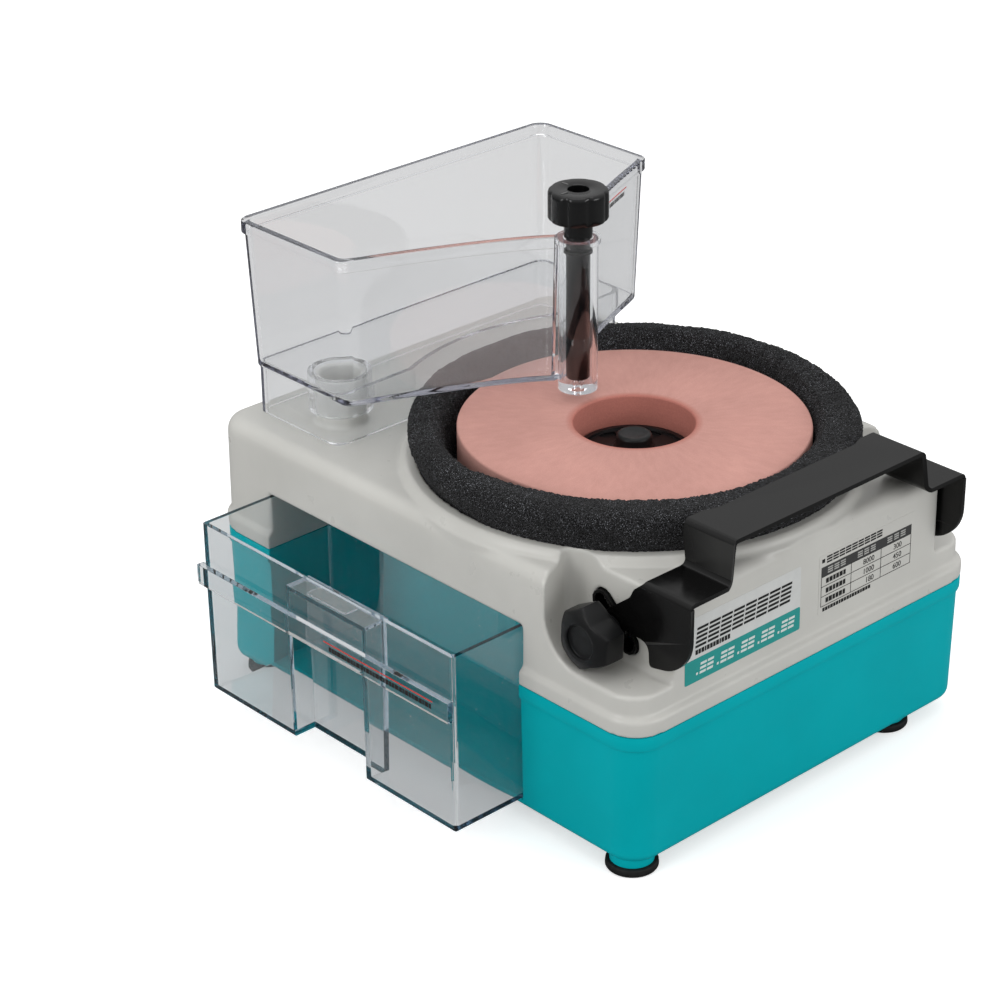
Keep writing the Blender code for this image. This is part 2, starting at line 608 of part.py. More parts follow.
def tool_rest():
    mat = black_paint()
    path = [(-99.0, 104.0), (-99.0, 147.0), (-97.2, 148.8), (-72.8, 148.8), (-70.6, 150.6), (-68.6, 168.4),
            (-66.6, REST_Z), (66.6, REST_Z), (68.6, 168.4), (70.6, 150.6), (72.8, 148.8), (97.2, 148.8),
            (99.0, 147.0), (99.0, 104.0)]
    ring = offset_path(path, SHEET)
    rest = loft("tool_rest", ([(x, -136.0, z) for x, z in ring], [(x, -70.0, z) for x, z in ring]), mat,
                (0.0, STUD_Y, STUD_Z))
    keep = [(-135.0, 200.0), (-135.0, 129.0), (-133.6, 122.0), (-130.0, 115.5), (-124.5, 110.8),
            (-117.5, 108.0), (-110.4, 106.4), (-108.6, 107.2), (-108.2, 114.6), (-106.6, 117.4),
            (-103.6, 118.5)]
    for k in range(9):
        a = math.radians(167.0 + 30.0 * k)
        keep.append((STUD_Y + 8.8 * math.cos(a), STUD_Z + 8.8 * math.sin(a)))
    keep += [(-95.6, 138.0), (-98.0, 143.0), (-104.0, 148.2), (-104.0, 151.0), (-100.6, 164.0), (-100.6, 200.0)]
    lo = [(-120.0, y, z) for y, z in keep]
    hi = [(120.0, y, z) for y, z in keep]
    combine(rest, [loft("keep", (lo, hi), mat)], "INTERSECT")
    front = [(-110.0, -140.0), (110.0, -140.0), (110.0, -134.6), (73.0, -134.2), (67.0, -132.2),
             (-67.0, -132.2), (-73.0, -134.2), (-110.0, -134.6)]
    cut(rest, loft("front", ([(x, y, 146.0) for x, y in front], [(x, y, 190.0) for x, y in front]), mat))
    back = [(-56.0, -98.0), (-56.0, -100.6), (-49.0, -103.4), (49.0, -103.4), (56.0, -100.6), (56.0, -98.0)]
    cut(rest, loft("back", ([(x, y, 160.0) for x, y in back], [(x, y, 180.0) for x, y in back]), mat))
    for s in (-1, 1):
        cut(rest, rod("hole", "X", (0, STUD_Y, STUD_Z), 4.3, s * 90.0, s * 105.0, mat, 12))
    return rest


def knob_radius(degrees):
    """Radius of the three-lobed knob: flat-topped lobes with hollow flanks between them."""
    off = abs((degrees - 2.0) % 120.0 - 60.0)
    if off <= 23.0:
        return 15.65 / math.cos(math.radians(off))
    return 13.2 + 3.8 * ((60.0 - off) / 37.0) ** 1.6


def clamp_knob(name, side):
    """Three-lobed clamping knob with a dished cap and a blind hole for its stud."""
    mat = black_plastic()
    steps = (-60.0, -48.0, -36.0, -28.0, -23.0, -11.0, 0.0, 11.0, 23.0, 28.0, 36.0, 48.0)
    angles = [62.0 + 120.0 * lobe + step for lobe in range(3) for step in steps]

    def ring(scale, plus, x):
        pts = []
        for degrees in angles:
            a = math.radians(degrees)
            r = knob_radius(degrees) * scale + plus
            pts.append((side * x, STUD_Y + r * math.cos(a), STUD_Z + r * math.sin(a)))
        return pts

    loops = [ring(0.0, 7.1, 99.35), ring(0.0, 7.1, 103.0), ring(0.7, 2.6, 105.4), ring(1.0, 0.0, 107.6),
             ring(1.0, 0.0, 116.9), ring(0.95, 0.2, 118.0), ring(0.6, 3.7, 119.7), ring(0.08, 8.75, 120.8)]
    knob = loft(name, loops, mat, (side * 99.0, STUD_Y, STUD_Z))
    cut(knob, rod("dish", "X", (0, STUD_Y, STUD_Z), 8.6, side * 118.8, side * 123.0, mat, 20))
    cut(knob, rod("blind", "X", (0, STUD_Y, STUD_Z), 4.3, side * 95.0, side * 109.5, mat, 12))
    return knob


def rest_clamps():
    for label, side in (("left", -1), ("right", 1)):
        at = (side * 96.0, STUD_Y, STUD_Z)
        plate = slot_solid("slot_plate_" + label, side, 5.9, 90.4, 96.4, black_plastic())
        fuse(plate, slot_solid("flange", side, 8.0, 90.4, 92.1, black_plastic()))
        cut(plate, slot_solid("path", side, 4.3, 85.0, 99.0, black_plastic()))
        cut(plate, rod("basin", "Z", (0, 0, 0), WELL_R + WELL_WALL + 0.4, 100.0, 140.0, black_plastic(), 72))
        bolt = ((0.0, 87.6), (6.2, 87.6), (6.2, 90.1), (4.0, 90.1), (4.0, 109.0), (0.0, 109.0))
        profile = [(r, side * x) for r, x in bolt]
        turned("rest_bolt_" + label, "X", at, profile, steel(), 16, at)
        clamp_knob("clamp_knob_" + label, side)


def labels():
    y = Y_FRONT + 3.75
    block("name_label", -88.3, -7.7, y - 0.6, y - 0.25, 96.0, 130.5, white_film())
    block("speed_label", 5.6, 77.2, y - 0.6, y - 0.25, 97.8, 130.4, white_film())


# ---- finish -----------------------------------------------------------------
def finish():
    for obj in bpy.data.objects:
        if obj.type != "MESH":
            continue
        obj.data.shade_smooth()
        obj.data.set_sharp_from_angle(angle=math.radians(32.0))


def main():
    for obj in list(bpy.data.objects):
        bpy.data.objects.remove(obj, do_unlink=True)
    base_housing()
    cover_housing()
    splash_ring()
    feet()
    spindle_group()
    bearings()
    motor()
    drive_belt()
    electrics()
    drawer()
    water_tank()
    tap()
    tool_rest()
    rest_clamps()
    labels()
    finish()


main()
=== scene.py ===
"""Looks of the wet grinding sharpener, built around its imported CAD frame.

The helpers take millimetres measured from the stone's axis, as the part's own source does, and
turn them into metres in the frame. Every visible shell, clear part, foam and print is made here.
"""
from math import atan2, cos, degrees, exp, hypot, pi, radians, sin, sqrt, tan

import bmesh
import bpy
import numpy as np
from mathutils import Matrix, Vector, noise


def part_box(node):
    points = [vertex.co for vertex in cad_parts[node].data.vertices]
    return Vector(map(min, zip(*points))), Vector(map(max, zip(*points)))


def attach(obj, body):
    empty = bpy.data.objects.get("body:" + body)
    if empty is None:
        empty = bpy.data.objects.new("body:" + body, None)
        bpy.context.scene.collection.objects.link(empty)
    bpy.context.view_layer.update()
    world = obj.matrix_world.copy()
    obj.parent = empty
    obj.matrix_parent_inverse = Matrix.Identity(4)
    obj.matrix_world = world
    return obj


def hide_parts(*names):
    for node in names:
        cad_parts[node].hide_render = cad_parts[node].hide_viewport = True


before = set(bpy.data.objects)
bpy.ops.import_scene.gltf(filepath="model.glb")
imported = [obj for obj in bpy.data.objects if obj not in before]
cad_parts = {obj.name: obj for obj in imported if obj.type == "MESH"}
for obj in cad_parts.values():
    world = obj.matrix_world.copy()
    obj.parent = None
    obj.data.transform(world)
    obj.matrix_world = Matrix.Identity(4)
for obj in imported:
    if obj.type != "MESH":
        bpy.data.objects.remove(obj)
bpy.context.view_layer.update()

MM = 0.001
ORIGIN = (0.0, 0.0, 0.0)


def span(node):
    """Lowest and highest corner of a CAD node, in mm, in the part frame."""
    low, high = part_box(node)
    return low * 1000.0, high * 1000.0


STONE_LOW, STONE_HIGH = span("grinding_stone")
SX = (STONE_LOW.x + STONE_HIGH.x) / 2
SY = (STONE_LOW.y + STONE_HIGH.y) / 2
STONE_TOP = STONE_HIGH.z
BASE_LOW, BASE_HIGH = span("base_housing")
HALF_W = (BASE_HIGH.x - BASE_LOW.x) / 2 + 0.2
Y_FRONT = BASE_LOW.y - SY - 0.2
Y_BACK = BASE_HIGH.y - SY + 0.2

# ---- driving dimensions, mm from the stone axis ------------------------------------
CORNER = 18.0
BASE_BOTTOM = 8.0
SEAM = 80.0
COVER_TOP = 144.0
WALL = 3.0
WELL_R = 110.5
WELL_WALL = 2.4
WELL_FLOOR = 119.5
LIP_TOP = 148.5
OPEN_Y0, OPEN_Y1 = -46.0, 147.4
OPEN_Z0, OPEN_Z1 = 12.8, 111.6
BAY_X = -43.8
DRAWER_X0, DRAWER_X1 = -166.0, -83.0
DRAWER_Y0, DRAWER_Y1 = -45.4, 146.8
DRAWER_Z0, DRAWER_Z1 = 13.1, 111.0
RECESS_Y0, RECESS_Y1 = 21.6, 78.0
RECESS_TOP = 100.4
BAND_Z0, BAND_Z1 = 75.8, 87.0
TAP_Y = 41.0
TANK_FLOOR, TANK_TOP = 171.0, 252.0
TANK_HALF, TANK_BACK = 108.0, 182.0
POST_X, POST_Y = 78.0, 138.0
REST_Z = 170.3
SHEET = 2.3
STUD_Y, STUD_Z = -84.0, 117.3
SLOT_TOP = (-73.9, 126.4)
SLOT_LOW = (-91.5, 110.5)
DIAL = (-35.0, 103.0)
CORD_AT = (82.0, 0.0, 103.0)
FEET = ((-108.5, -108.5), (80.0, -106.0), (-104.0, 172.0), (104.0, 172.0))


# ---- nodes ------------------------------------------------------------------------
class Nodes:
    """Node tree of a material or world; the methods add nodes and return their output sockets."""

    def __init__(self, owner, coordinates=None):
        owner.use_nodes = True
        self.owner = owner
        self.tree = owner.node_tree
        if coordinates:
            self.place = self.add("ShaderNodeTexCoord", {}, coordinates)

    def feed(self, node, inputs):
        """Link or set a node's input sockets, given by name or number."""
        for key, value in inputs.items():
            socket = node.inputs[key]
            if isinstance(value, bpy.types.NodeSocket):
                self.tree.links.new(value, socket)
            elif socket.type == "RGBA":
                socket.default_value = (*value, 1.0)
            else:
                socket.default_value = value
        return self.owner

    def finish(self, inputs, end="Principled BSDF"):
        return self.feed(self.tree.nodes[end], inputs)

    def add(self, kind, inputs, output=0, **settings):
        """Output socket of a new node, once its settings are made and its inputs are fed."""
        node = self.tree.nodes.new(kind)
        for key, value in settings.items():
            setattr(node, key, value)
        self.feed(node, inputs)
        return node.outputs[output]

    def noise(self, scale, detail=3.0, place=None, output="Fac"):
        inputs = {"Vector": place or self.place, "Scale": scale, "Detail": detail}
        return self.add("ShaderNodeTexNoise", inputs, output)

    def cells(self, scale, place=None, feature="F1"):
        inputs = {"Vector": place or self.place, "Scale": scale}
        return self.add("ShaderNodeTexVoronoi", inputs, "Distance", feature=feature)

    def ramp(self, factor, *stops):
        """Colour ramp through (position, colour or grey) stops."""
        node = self.tree.nodes.new("ShaderNodeValToRGB")
        elements = node.color_ramp.elements
        while len(elements) < len(stops):
            elements.new(0.5)
        for element, (at, value) in zip(elements, stops):
            element.position = at
            rgb = value if hasattr(value, "__len__") else (value, value, value)
            element.color = (*rgb, 1.0)
        self.feed(node, {"Fac": factor})
        return node.outputs["Color"]

    def spread(self, factor, low, high):
        """The middle of a noise's range, 0.3 to 0.7, turned into a value between low and high."""
        inputs = {"Value": factor, "From Min": 0.3, "From Max": 0.7, "To Min": low, "To Max": high}
        return self.add("ShaderNodeMapRange", inputs, "Result")

    def blend(self, factor, one, two, mode="MIX"):
        inputs = {0: factor, 6: one, 7: two}
        return self.add("ShaderNodeMix", inputs, 2, data_type="RGBA", blend_type=mode)

    def multiply(self, one, two):
        return self.blend(1.0, one, two, "MULTIPLY")

    def vector(self, operation, *values, output=0):
        return self.add("ShaderNodeVectorMath", dict(enumerate(values)), output, operation=operation)

    def relief(self, height, strength, distance):
        inputs = {"Height": height, "Strength": strength, "Distance": distance}
        return self.add("ShaderNodeBump", inputs, "Normal")

    def by_ray(self, kind, usual, other):
        """One surface for most light rays and another for rays of the named kind."""
        ray = self.add("ShaderNodeLightPath", {}, "Is %s Ray" % kind)
        return self.add("ShaderNodeMixShader", {0: ray, 1: usual, 2: other})


def new_look(name):
    return Nodes(bpy.data.materials.new(name), "Object")


def scaled(rgb, k):
    return tuple(min(1.0, c * k) for c in rgb)


# ---- materials --------------------------------------------------------------------
MADE = {}


def once(function):
    """Each material is made the first time it is asked for."""
    def made(*args):
        key = (function.__name__, args)
        if key not in MADE:
            MADE[key] = function(*args)
        return MADE[key]
    return made


@once
def moulded(name, rgb, rough, level, grain):
    """Moulded plastic: slow colour drift, uneven gloss and a fine grain."""
    look = new_look(name)
    drift = look.noise(22.0, 4.0)
    return look.finish({
        "Base Color": look.ramp(drift, (0.35, scaled(rgb, 0.965)), (0.65, scaled(rgb, 1.03))),
        "Roughness": look.spread(look.noise(70.0, 5.0), rough - 0.03, rough + 0.05),
        "Specular IOR Level": level,
        "Normal": look.relief(look.noise(1900.0), grain, 0.0002)})


def grey_abs():
    return moulded("warm_grey_abs", (0.565, 0.56, 0.528), 0.3, 0.42, 0.02)


def teal_abs():
    return moulded("teal_abs_shell", (0.0, 0.395, 0.445), 0.42, 0.05, 0.04)


def black_abs():
    return moulded("black_moulding", (0.0055, 0.0057, 0.0062), 0.34, 0.24, 0.16)


def satin_black():
    return moulded("satin_black_moulding", (0.0035, 0.0037, 0.004), 0.2, 0.4, 0.03)


def black_gloss():
    return moulded("black_gloss_moulding", (0.0025, 0.0025, 0.0028), 0.13, 0.3, 0.03)


@once
def rubber():
    """Dull black rubber with a mottled, slightly rough skin."""
    look = new_look("foot_rubber")
    return look.finish({
        "Base Color": look.ramp(look.noise(300.0, 6.0), (0.35, 0.006), (0.7, 0.014)),
        "Roughness": 0.62,
        "Specular IOR Level": 0.25,
        "Normal": look.relief(look.noise(1400.0, 4.0), 0.3, 0.0003)})


@once
def black_paint():
    """Baked black enamel on sheet steel: orange peel, a few dust nibs, thinner on the edges."""
    look = new_look("black_enamel")
    edge = look.add("ShaderNodeNewGeometry", {}, "Pointiness")
    worn = look.ramp(edge, (0.53, 0.003), (0.6, (0.03, 0.03, 0.029)))
    nibs = look.ramp(look.cells(95.0), (0.0, 1.0), (0.035, 0.0))
    few = look.ramp(look.noise(60.0, 1.0), (0.6, 0.0), (0.66, 1.0))
    return look.finish({
        "Base Color": look.blend(look.multiply(nibs, few), worn, (0.32, 0.31, 0.30)),
        "Roughness": look.spread(look.noise(260.0, 5.0), 0.15, 0.22),
        "Specular IOR Level": 0.26,
        "Normal": look.relief(look.noise(500.0), 0.04, 0.0002)})


@once
def open_cell_foam():
    """Reticulated foam: lighter strut colour with painted shade darkening the pores between, and paler
    flecks painted in as highlights where strut edges catch the light.
    """
    look = new_look("reticulated_foam")
    wobble = look.noise(700.0, 2.0, output="Color")
    warped = look.vector("MULTIPLY_ADD", wobble, (0.0012, 0.0012, 0.0012), look.place)
    cells = look.cells(880.0, warped, "DISTANCE_TO_EDGE")
    # painted shade: the pore centres go near black as shade inside the open cells, the cell edges keep the
    # strut colour
    strut_colour_and_pore_shade = look.ramp(cells, (0.02, (0.028, 0.028, 0.029)), (0.22, (0.0035, 0.0035, 0.0037)))
    # painted highlight: sparse pale flecks in the base colour stand in for strut edges catching the light
    painted_glints = look.ramp(look.noise(2100.0, 2.0), (0.62, 0.0), (0.67, 1.0))
    patch = look.ramp(look.noise(45.0), (0.35, 0.35), (0.65, 1.0))
    return look.finish({
        "Base Color": look.blend(look.multiply(painted_glints, patch), strut_colour_and_pore_shade, (0.3, 0.31, 0.34)),
        "Roughness": 0.8,
        "Specular IOR Level": 0.08,
        "Sheen Weight": 0.03,
        "Sheen Roughness": 0.5,
        "Normal": look.relief(cells, 0.9, 0.0007)})


@once
def water_stone():
    """Dressed pink ceramic: faint radial lapping streaks, cloudy patches and a fine open grain."""
    look = new_look("pink_water_stone")
    flat = look.vector("MULTIPLY", look.place, (1.0, 1.0, 0.0))
    away = look.vector("NORMALIZE", flat)
    skew = look.vector("MULTIPLY_ADD", flat, (9.0, 9.0, 0.0), away)
    turns = look.vector("MULTIPLY_ADD", look.place, (0.0, 0.0, 70.0), skew)
    streak = look.noise(14.0, 5.0, turns)
    cloud = look.noise(26.0, 5.0)
    grain = look.noise(1500.0, 4.0)
    radius = look.vector("LENGTH", flat, output="Value")
    shade = look.ramp(streak, (0.3, (0.588, 0.308, 0.265)), (0.7, (0.628, 0.335, 0.290)))
    shade = look.multiply(shade, look.ramp(cloud, (0.32, 0.93), (0.68, 1.05)))
    # the bore wall is painted darker and redder than the outer faces
    darker_bore = look.ramp(radius, (0.0314, (0.84, 0.60, 0.56)), (0.0321, 1.0))
    shade = look.multiply(shade, darker_bore)
    return look.finish({
        "Base Color": look.multiply(shade, look.ramp(grain, (0.3, 0.93), (0.7, 1.04))),
        "Roughness": 0.8,
        "Specular IOR Level": 0.12,
        "Normal": look.relief(grain, 0.28, 0.00025)})


@once
def clear_styrene(name, tint, density, dust, shade):
    """Clear moulded styrene: real refraction, a slate tint that builds up along the edges, faint haze."""
    look = new_look(name)
    haze = look.ramp(look.noise(45.0, 4.0), (0.3, 0.012), (0.75, 0.03))
    if dust:
        specks = look.ramp(look.cells(420.0), (0.05, 0.5), (0.12, 0.0))
        low = look.ramp(look.noise(55.0, 4.0), (0.52, 0.0), (0.66, 1.0))
        haze = look.blend(1.0, haze, look.multiply(specks, low), "ADD")
    look.finish({
        "Base Color": (0.965, 0.97, 0.975),
        "Transmission Weight": 1.0,
        "IOR": 1.5,
        "Roughness": haze,
        "Normal": look.relief(look.noise(38.0, 2.0), 0.05, 0.0006)})
    clear = look.tree.nodes["Principled BSDF"].outputs[0]
    shadow = look.add("ShaderNodeBsdfTransparent", {"Color": (shade, shade * 1.01, shade * 1.015)})
    absorb = look.add("ShaderNodeVolumeAbsorption", {"Color": tint, "Density": density})
    surface = look.by_ray("Shadow", clear, shadow)
    return look.finish({"Surface": surface, "Volume": absorb}, "Material Output")


def tank_clear():
    return clear_styrene("tank_styrene", (0.79, 0.795, 0.83), 34.0, False, 0.965)


def drawer_clear():
    return clear_styrene("drawer_styrene", (0.64, 0.73, 0.79), 28.0, True, 0.76)


@once
def bare_metal(name, rgb, rough, stretch):
    """Bare metal; a stretch above 1 draws its grain out into fine turned or brushed lines."""
    look = new_look(name)
    grain = look.noise(420.0, 6.0, look.vector("MULTIPLY", look.place, (1.0, 1.0, stretch)))
    return look.finish({
        "Base Color": look.ramp(grain, (0.3, scaled(rgb, 0.85)), (0.7, rgb)),
        "Roughness": look.spread(grain, rough, rough + 0.15),
        "Metallic": 1.0,
        "Normal": look.relief(grain, 0.25, 0.0002)})


def steel():
    return bare_metal("turned_steel", (0.62, 0.62, 0.61), 0.22, 14.0)


def alloy():
    return bare_metal("cast_aluminium", (0.66, 0.67, 0.68), 0.42, 1.0)


@once
def circuit_board():
    """Green solder mask with paler track-like joints."""
    look = new_look("solder_mask")
    tracks = look.add("ShaderNodeTexBrick", {
        "Vector": look.place, "Scale": 120.0, "Mortar": (0.03, 0.22, 0.09),
        "Color1": (0.012, 0.11, 0.045), "Color2": (0.016, 0.14, 0.06)}, "Color")
    return look.finish({
        "Base Color": tracks,
        "Roughness": 0.35,
        "Normal": look.relief(look.noise(900.0), 0.1, 0.0002)})


@once
def film(name, rgb, rough):
    """Printed film or ink: nearly flat colour with a trace of print mottle and scuffs in its gloss."""
    look = new_look(name)
    mottle = look.noise(160.0, 5.0)
    return look.finish({
        "Base Color": look.ramp(mottle, (0.35, scaled(rgb, 0.965)), (0.65, scaled(rgb, 1.02))),
        "Roughness": look.spread(look.noise(90.0, 5.0), rough - 0.04, rough + 0.08),
        "Specular IOR Level": 0.3,
        "Normal": look.relief(look.noise(1200.0, 2.0), 0.05, 0.0001)})


def ink():
    return film("black_ink", (0.012, 0.012, 0.012), 0.5)


def red_ink():
    return film("red_ink", (0.62, 0.03, 0.02), 0.45)


# ---- mesh helpers -----------------------------------------------------------------
def new_piece(name, bm, mat, origin=ORIGIN):
    """Turn a bmesh in mm, centred on the stone axis, into an object whose origin is at origin."""
    bmesh.ops.remove_doubles(bm, verts=bm.verts, dist=0.0005)
    bmesh.ops.recalc_face_normals(bm, faces=bm.faces)
    at = Vector(origin)
    for vert in bm.verts:
        vert.co = (vert.co - at) * MM
    mesh = bpy.data.meshes.new(name)
    bm.to_mesh(mesh)
    bm.free()
    mesh.materials.append(mat)
    obj = bpy.data.objects.new(name, mesh)
    obj.location = ((at.x + SX) * MM, (at.y + SY) * MM, at.z * MM)
    bpy.context.scene.collection.objects.link(obj)
    return obj


def skin(bm, loops):
    """Faces between successive equal-length loops of points, capped at both ends."""
    rings = [[bm.verts.new(p) for p in loop] for loop in loops]
    count = len(rings[0])
    for low, high in zip(rings, rings[1:]):
        for i in range(count):
            j = (i + 1) % count
            bm.faces.new((low[i], low[j], high[j], high[i]))
    bm.faces.new(list(reversed(rings[0])))
    bm.faces.new(rings[-1])


def loft(name, loops, mat, origin=ORIGIN):
    bm = bmesh.new()
    skin(bm, loops)
    return new_piece(name, bm, mat, origin)


def prism(name, axis, outline, low, high, mat, origin=ORIGIN):
    """Straight solid with a 2-D outline, between two stations along an axis."""
    order = {"X": (2, 0, 1), "Y": (0, 2, 1), "Z": (0, 1, 2)}[axis]
    loops = [[[(a, b, at)[k] for k in order] for a, b in outline] for at in (low, high)]
    return loft(name, loops, mat, origin)


def arc(cx, cy, radius, start, step, count):
    """Points a step of degrees apart on an arc."""
    angles = [radians(start + step * k) for k in range(count)]
    return [(cx + radius * cos(a), cy + radius * sin(a)) for a in angles]


def rounded(x0, x1, y0, y1, radius, z, steps=12):
    """Rounded rectangle, counter-clockwise, at height z."""
    right, left, top, low = x1 - radius, x0 + radius, y1 - radius, y0 + radius
    pts = []
    for k, (cx, cy) in enumerate(((right, top), (left, top), (left, low), (right, low))):
        pts += arc(cx, cy, radius, 90.0 * k, 90.0 / steps, steps + 1)
    return [(x, y, z) for x, y in pts]


def block(name, x0, x1, y0, y1, z0, z1, mat):
    return prism(name, "Z", [(x0, y0), (x1, y0), (x1, y1), (x0, y1)], z0, z1, mat)


def frame_point(axis, centre, along, r, a):
    """Point at radius r and angle a round an axis through centre."""
    cx, cy, cz = centre
    u = r * cos(a)
    v = r * sin(a)
    if axis == "Z":
        return (cx + u, cy + v, along)
    if axis == "X":
        return (along, cy + u, cz + v)
    return (cx + v, along, cz + u)


def turned(name, axis, centre, profile, mat, sides=96, origin=ORIGIN):
    """Solid of revolution from (radius, along) pairs; a closed ring if no radius is zero."""
    bm = bmesh.new()
    rings = []
    for r, along in profile:
        if r == 0.0:
            rings.append([bm.verts.new(frame_point(axis, centre, along, 0.0, 0.0))])
            continue
        angles = [2.0 * pi * k / sides for k in range(sides)]
        rings.append([bm.verts.new(frame_point(axis, centre, along, r, a)) for a in angles])
    pairs = list(zip(rings, rings[1:]))
    if min(r for r, _ in profile) > 0.0:
        pairs.append((rings[-1], rings[0]))
    for one, two in pairs:
        for i in range(sides):
            j = (i + 1) % sides
            if len(one) == 1:
                bm.faces.new((one[0], two[i], two[j]))
            elif len(two) == 1:
                bm.faces.new((one[i], one[j], two[0]))
            else:
                bm.faces.new((one[i], one[j], two[j], two[i]))
    return new_piece(name, bm, mat, origin)


def rod(name, axis, centre, r, a, b, mat, sides=64):
    return turned(name, axis, centre, ((0.0, a), (r, a), (r, b), (0.0, b)), mat, sides)


def tube(name, axis, centre, r_in, r_out, a, b, mat, sides=64):
    return turned(name, axis, centre, ((r_in, a), (r_out, a), (r_out, b), (r_in, b)), mat, sides)


def soft_corners(points, radius, steps=5, closed=False):
    """Round the corners of a 2-D polyline with arcs of up to the given radius."""
    out = []
    n = len(points)
    for k, p in enumerate(points):
        if not closed and k in (0, n - 1):
            out.append(tuple(p))
            continue
        here = Vector(p)
        back = Vector(points[k - 1]) - here
        ahead = Vector(points[(k + 1) % n]) - here
        half = back.angle(ahead) / 2
        reach = min(radius / tan(half), 0.48 * back.length, 0.48 * ahead.length)
        if degrees(half) > 86.0:
            out.append(tuple(p))
            continue
        r = reach * tan(half)
        centre = here + (back.normalized() + ahead.normalized()).normalized() * (r / sin(half))
        start = here + back.normalized() * reach - centre
        stop = here + ahead.normalized() * reach - centre
        turn = start.angle_signed(stop)
        for j in range(steps + 1):
            a = -turn * j / steps
            c, s = cos(a), sin(a)
            out.append((centre.x + start.x * c - start.y * s, centre.y + start.x * s + start.y * c))
    return out


def settle(obj, mesh):
    """Give an object its modified mesh in place of its modifiers."""
    obj.modifiers.clear()
    old = obj.data
    mesh.name = old.name
    obj.data = mesh
    bpy.data.meshes.remove(old)


def evaluated_mesh(obj):
    bpy.context.view_layer.update()
    graph = bpy.context.evaluated_depsgraph_get()
    return bpy.data.meshes.new_from_object(obj.evaluated_get(graph))


def weld(mesh):
    """Join the doubled points and drop the slivers that a Boolean leaves."""
    bm = bmesh.new()
    bm.from_mesh(mesh)
    bmesh.ops.remove_doubles(bm, verts=bm.verts, dist=2e-6)
    bmesh.ops.dissolve_degenerate(bm, edges=bm.edges, dist=1e-6)
    bm.to_mesh(mesh)
    bm.free()


def combine(obj, tools, operation):
    """Exact Boolean of obj with each tool in turn; the tools are used up."""
    for tool in tools:
        mod = obj.modifiers.new("bool", "BOOLEAN")
        mod.solver = "EXACT"
        mod.operation = operation
        mod.object = tool
        mesh = evaluated_mesh(obj)
        weld(mesh)
        settle(obj, mesh)
        bpy.data.objects.remove(tool, do_unlink=True)
    return obj


def cut(obj, *tools):
    return combine(obj, tools, "DIFFERENCE")


def fuse(obj, *tools):
    return combine(obj, tools, "UNION")


def moulded_edges(obj, voxel, passes):
    """Remesh with small voxels and relax, so that every edge gets a moulding's small radius."""
    mod = obj.modifiers.new("skin", "REMESH")
    mod.mode = "VOXEL"
    mod.voxel_size = voxel * MM
    mod.use_smooth_shade = True
    ease = obj.modifiers.new("ease", "SMOOTH")
    ease.factor = 0.5
    ease.iterations = passes
    settle(obj, evaluated_mesh(obj))
    return obj


def crisp(obj, width, angle=30.0, sharp=12.0, segments=2):
    """A small bevel on every sharp edge."""
    mod = obj.modifiers.new("edge", "BEVEL")
    mod.width = width * MM
    mod.segments = segments
    mod.limit_method = "ANGLE"
    mod.angle_limit = radians(angle)
    mod.use_clamp_overlap = True
    settle(obj, evaluated_mesh(obj))
    smooth(obj, sharp)
    return obj


def even_normals(obj):
    """Let the large flat faces decide the normals along their smooth edges."""
    mod = obj.modifiers.new("even", "WEIGHTED_NORMAL")
    mod.keep_sharp = True
    settle(obj, evaluated_mesh(obj))
    return obj


def smooth(obj, angle=32.0):
    obj.data.shade_smooth()
    obj.data.set_sharp_from_angle(angle=radians(angle))
    return obj


def finish_piece(obj, body, slot, *nodes):
    """Ride a CAD body and stand for the CAD nodes; the slot argument is not used."""
    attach(obj, body)
    if nodes:
        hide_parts(*nodes)
    return obj


# ---- housing ----------------------------------------------------------------------
def shell_loop(inset, z, front=0.0, radius=None):
    r = CORNER - inset if radius is None else radius
    return rounded(-HALF_W + inset, HALF_W - inset, Y_FRONT + inset + front, Y_BACK - inset, r, z)


def arc_levels(inset0, z0, inset1, z1, steps, flat_first):
    """(inset, z) pairs on a quarter ellipse; it leaves its first end level or upright."""
    out = []
    for k in range(steps + 1):
        t = radians(90.0 * k / steps)
        if flat_first:
            out.append((inset0 + (inset1 - inset0) * sin(t), z0 + (z1 - z0) * (1 - cos(t))))
        else:
            out.append((inset0 + (inset1 - inset0) * (1 - cos(t)), z0 + (z1 - z0) * sin(t)))
    return out


def base_shell():
    """Teal lower housing: a hollow moulding with a rebate at the seam, an open drawer bay and bosses."""
    mat = teal_abs()
    levels = arc_levels(7.0, BASE_BOTTOM, 2.6, BASE_BOTTOM + 5.0, 8, True)
    levels += [(1.65, SEAM - 9.4)]
    levels += arc_levels(1.6, SEAM - 8.9, 0.45, SEAM - 7.4, 5, False)[1:]
    levels += [(0.2, SEAM - 6.6), (0.2, SEAM - 0.9), (0.45, SEAM - 0.35), (1.0, SEAM - 0.15)]
    base = loft("base_shell", [shell_loop(i, z) for i, z in levels], mat)
    hollow = loft("hollow", (shell_loop(6.6, BASE_BOTTOM + 3.4), shell_loop(5.0, SEAM + 5.0)), mat)
    cut(hollow, block("bay", -140.0, BAY_X + 2.6, OPEN_Y0 - 2.6, OPEN_Y1 + 2.6, 0.0, SEAM + 9.0, mat))
    cut(base, hollow)
    cut(base, block("inside", -140.0, BAY_X, OPEN_Y0, OPEN_Y1, OPEN_Z0, SEAM + 9.0, mat))
    for x, y in FEET:
        fuse(base, rod("boss", "Z", (x, y, 0.0), 11.0, 4.3, BASE_BOTTOM + 2.0, mat, 40))
        cut(base, rod("pilot", "Z", (x, y, 0.0), 1.9, 3.0, 9.0, mat, 16))
    finish_piece(smooth(base, 35.0), "machine", "teal_abs", "base_housing")


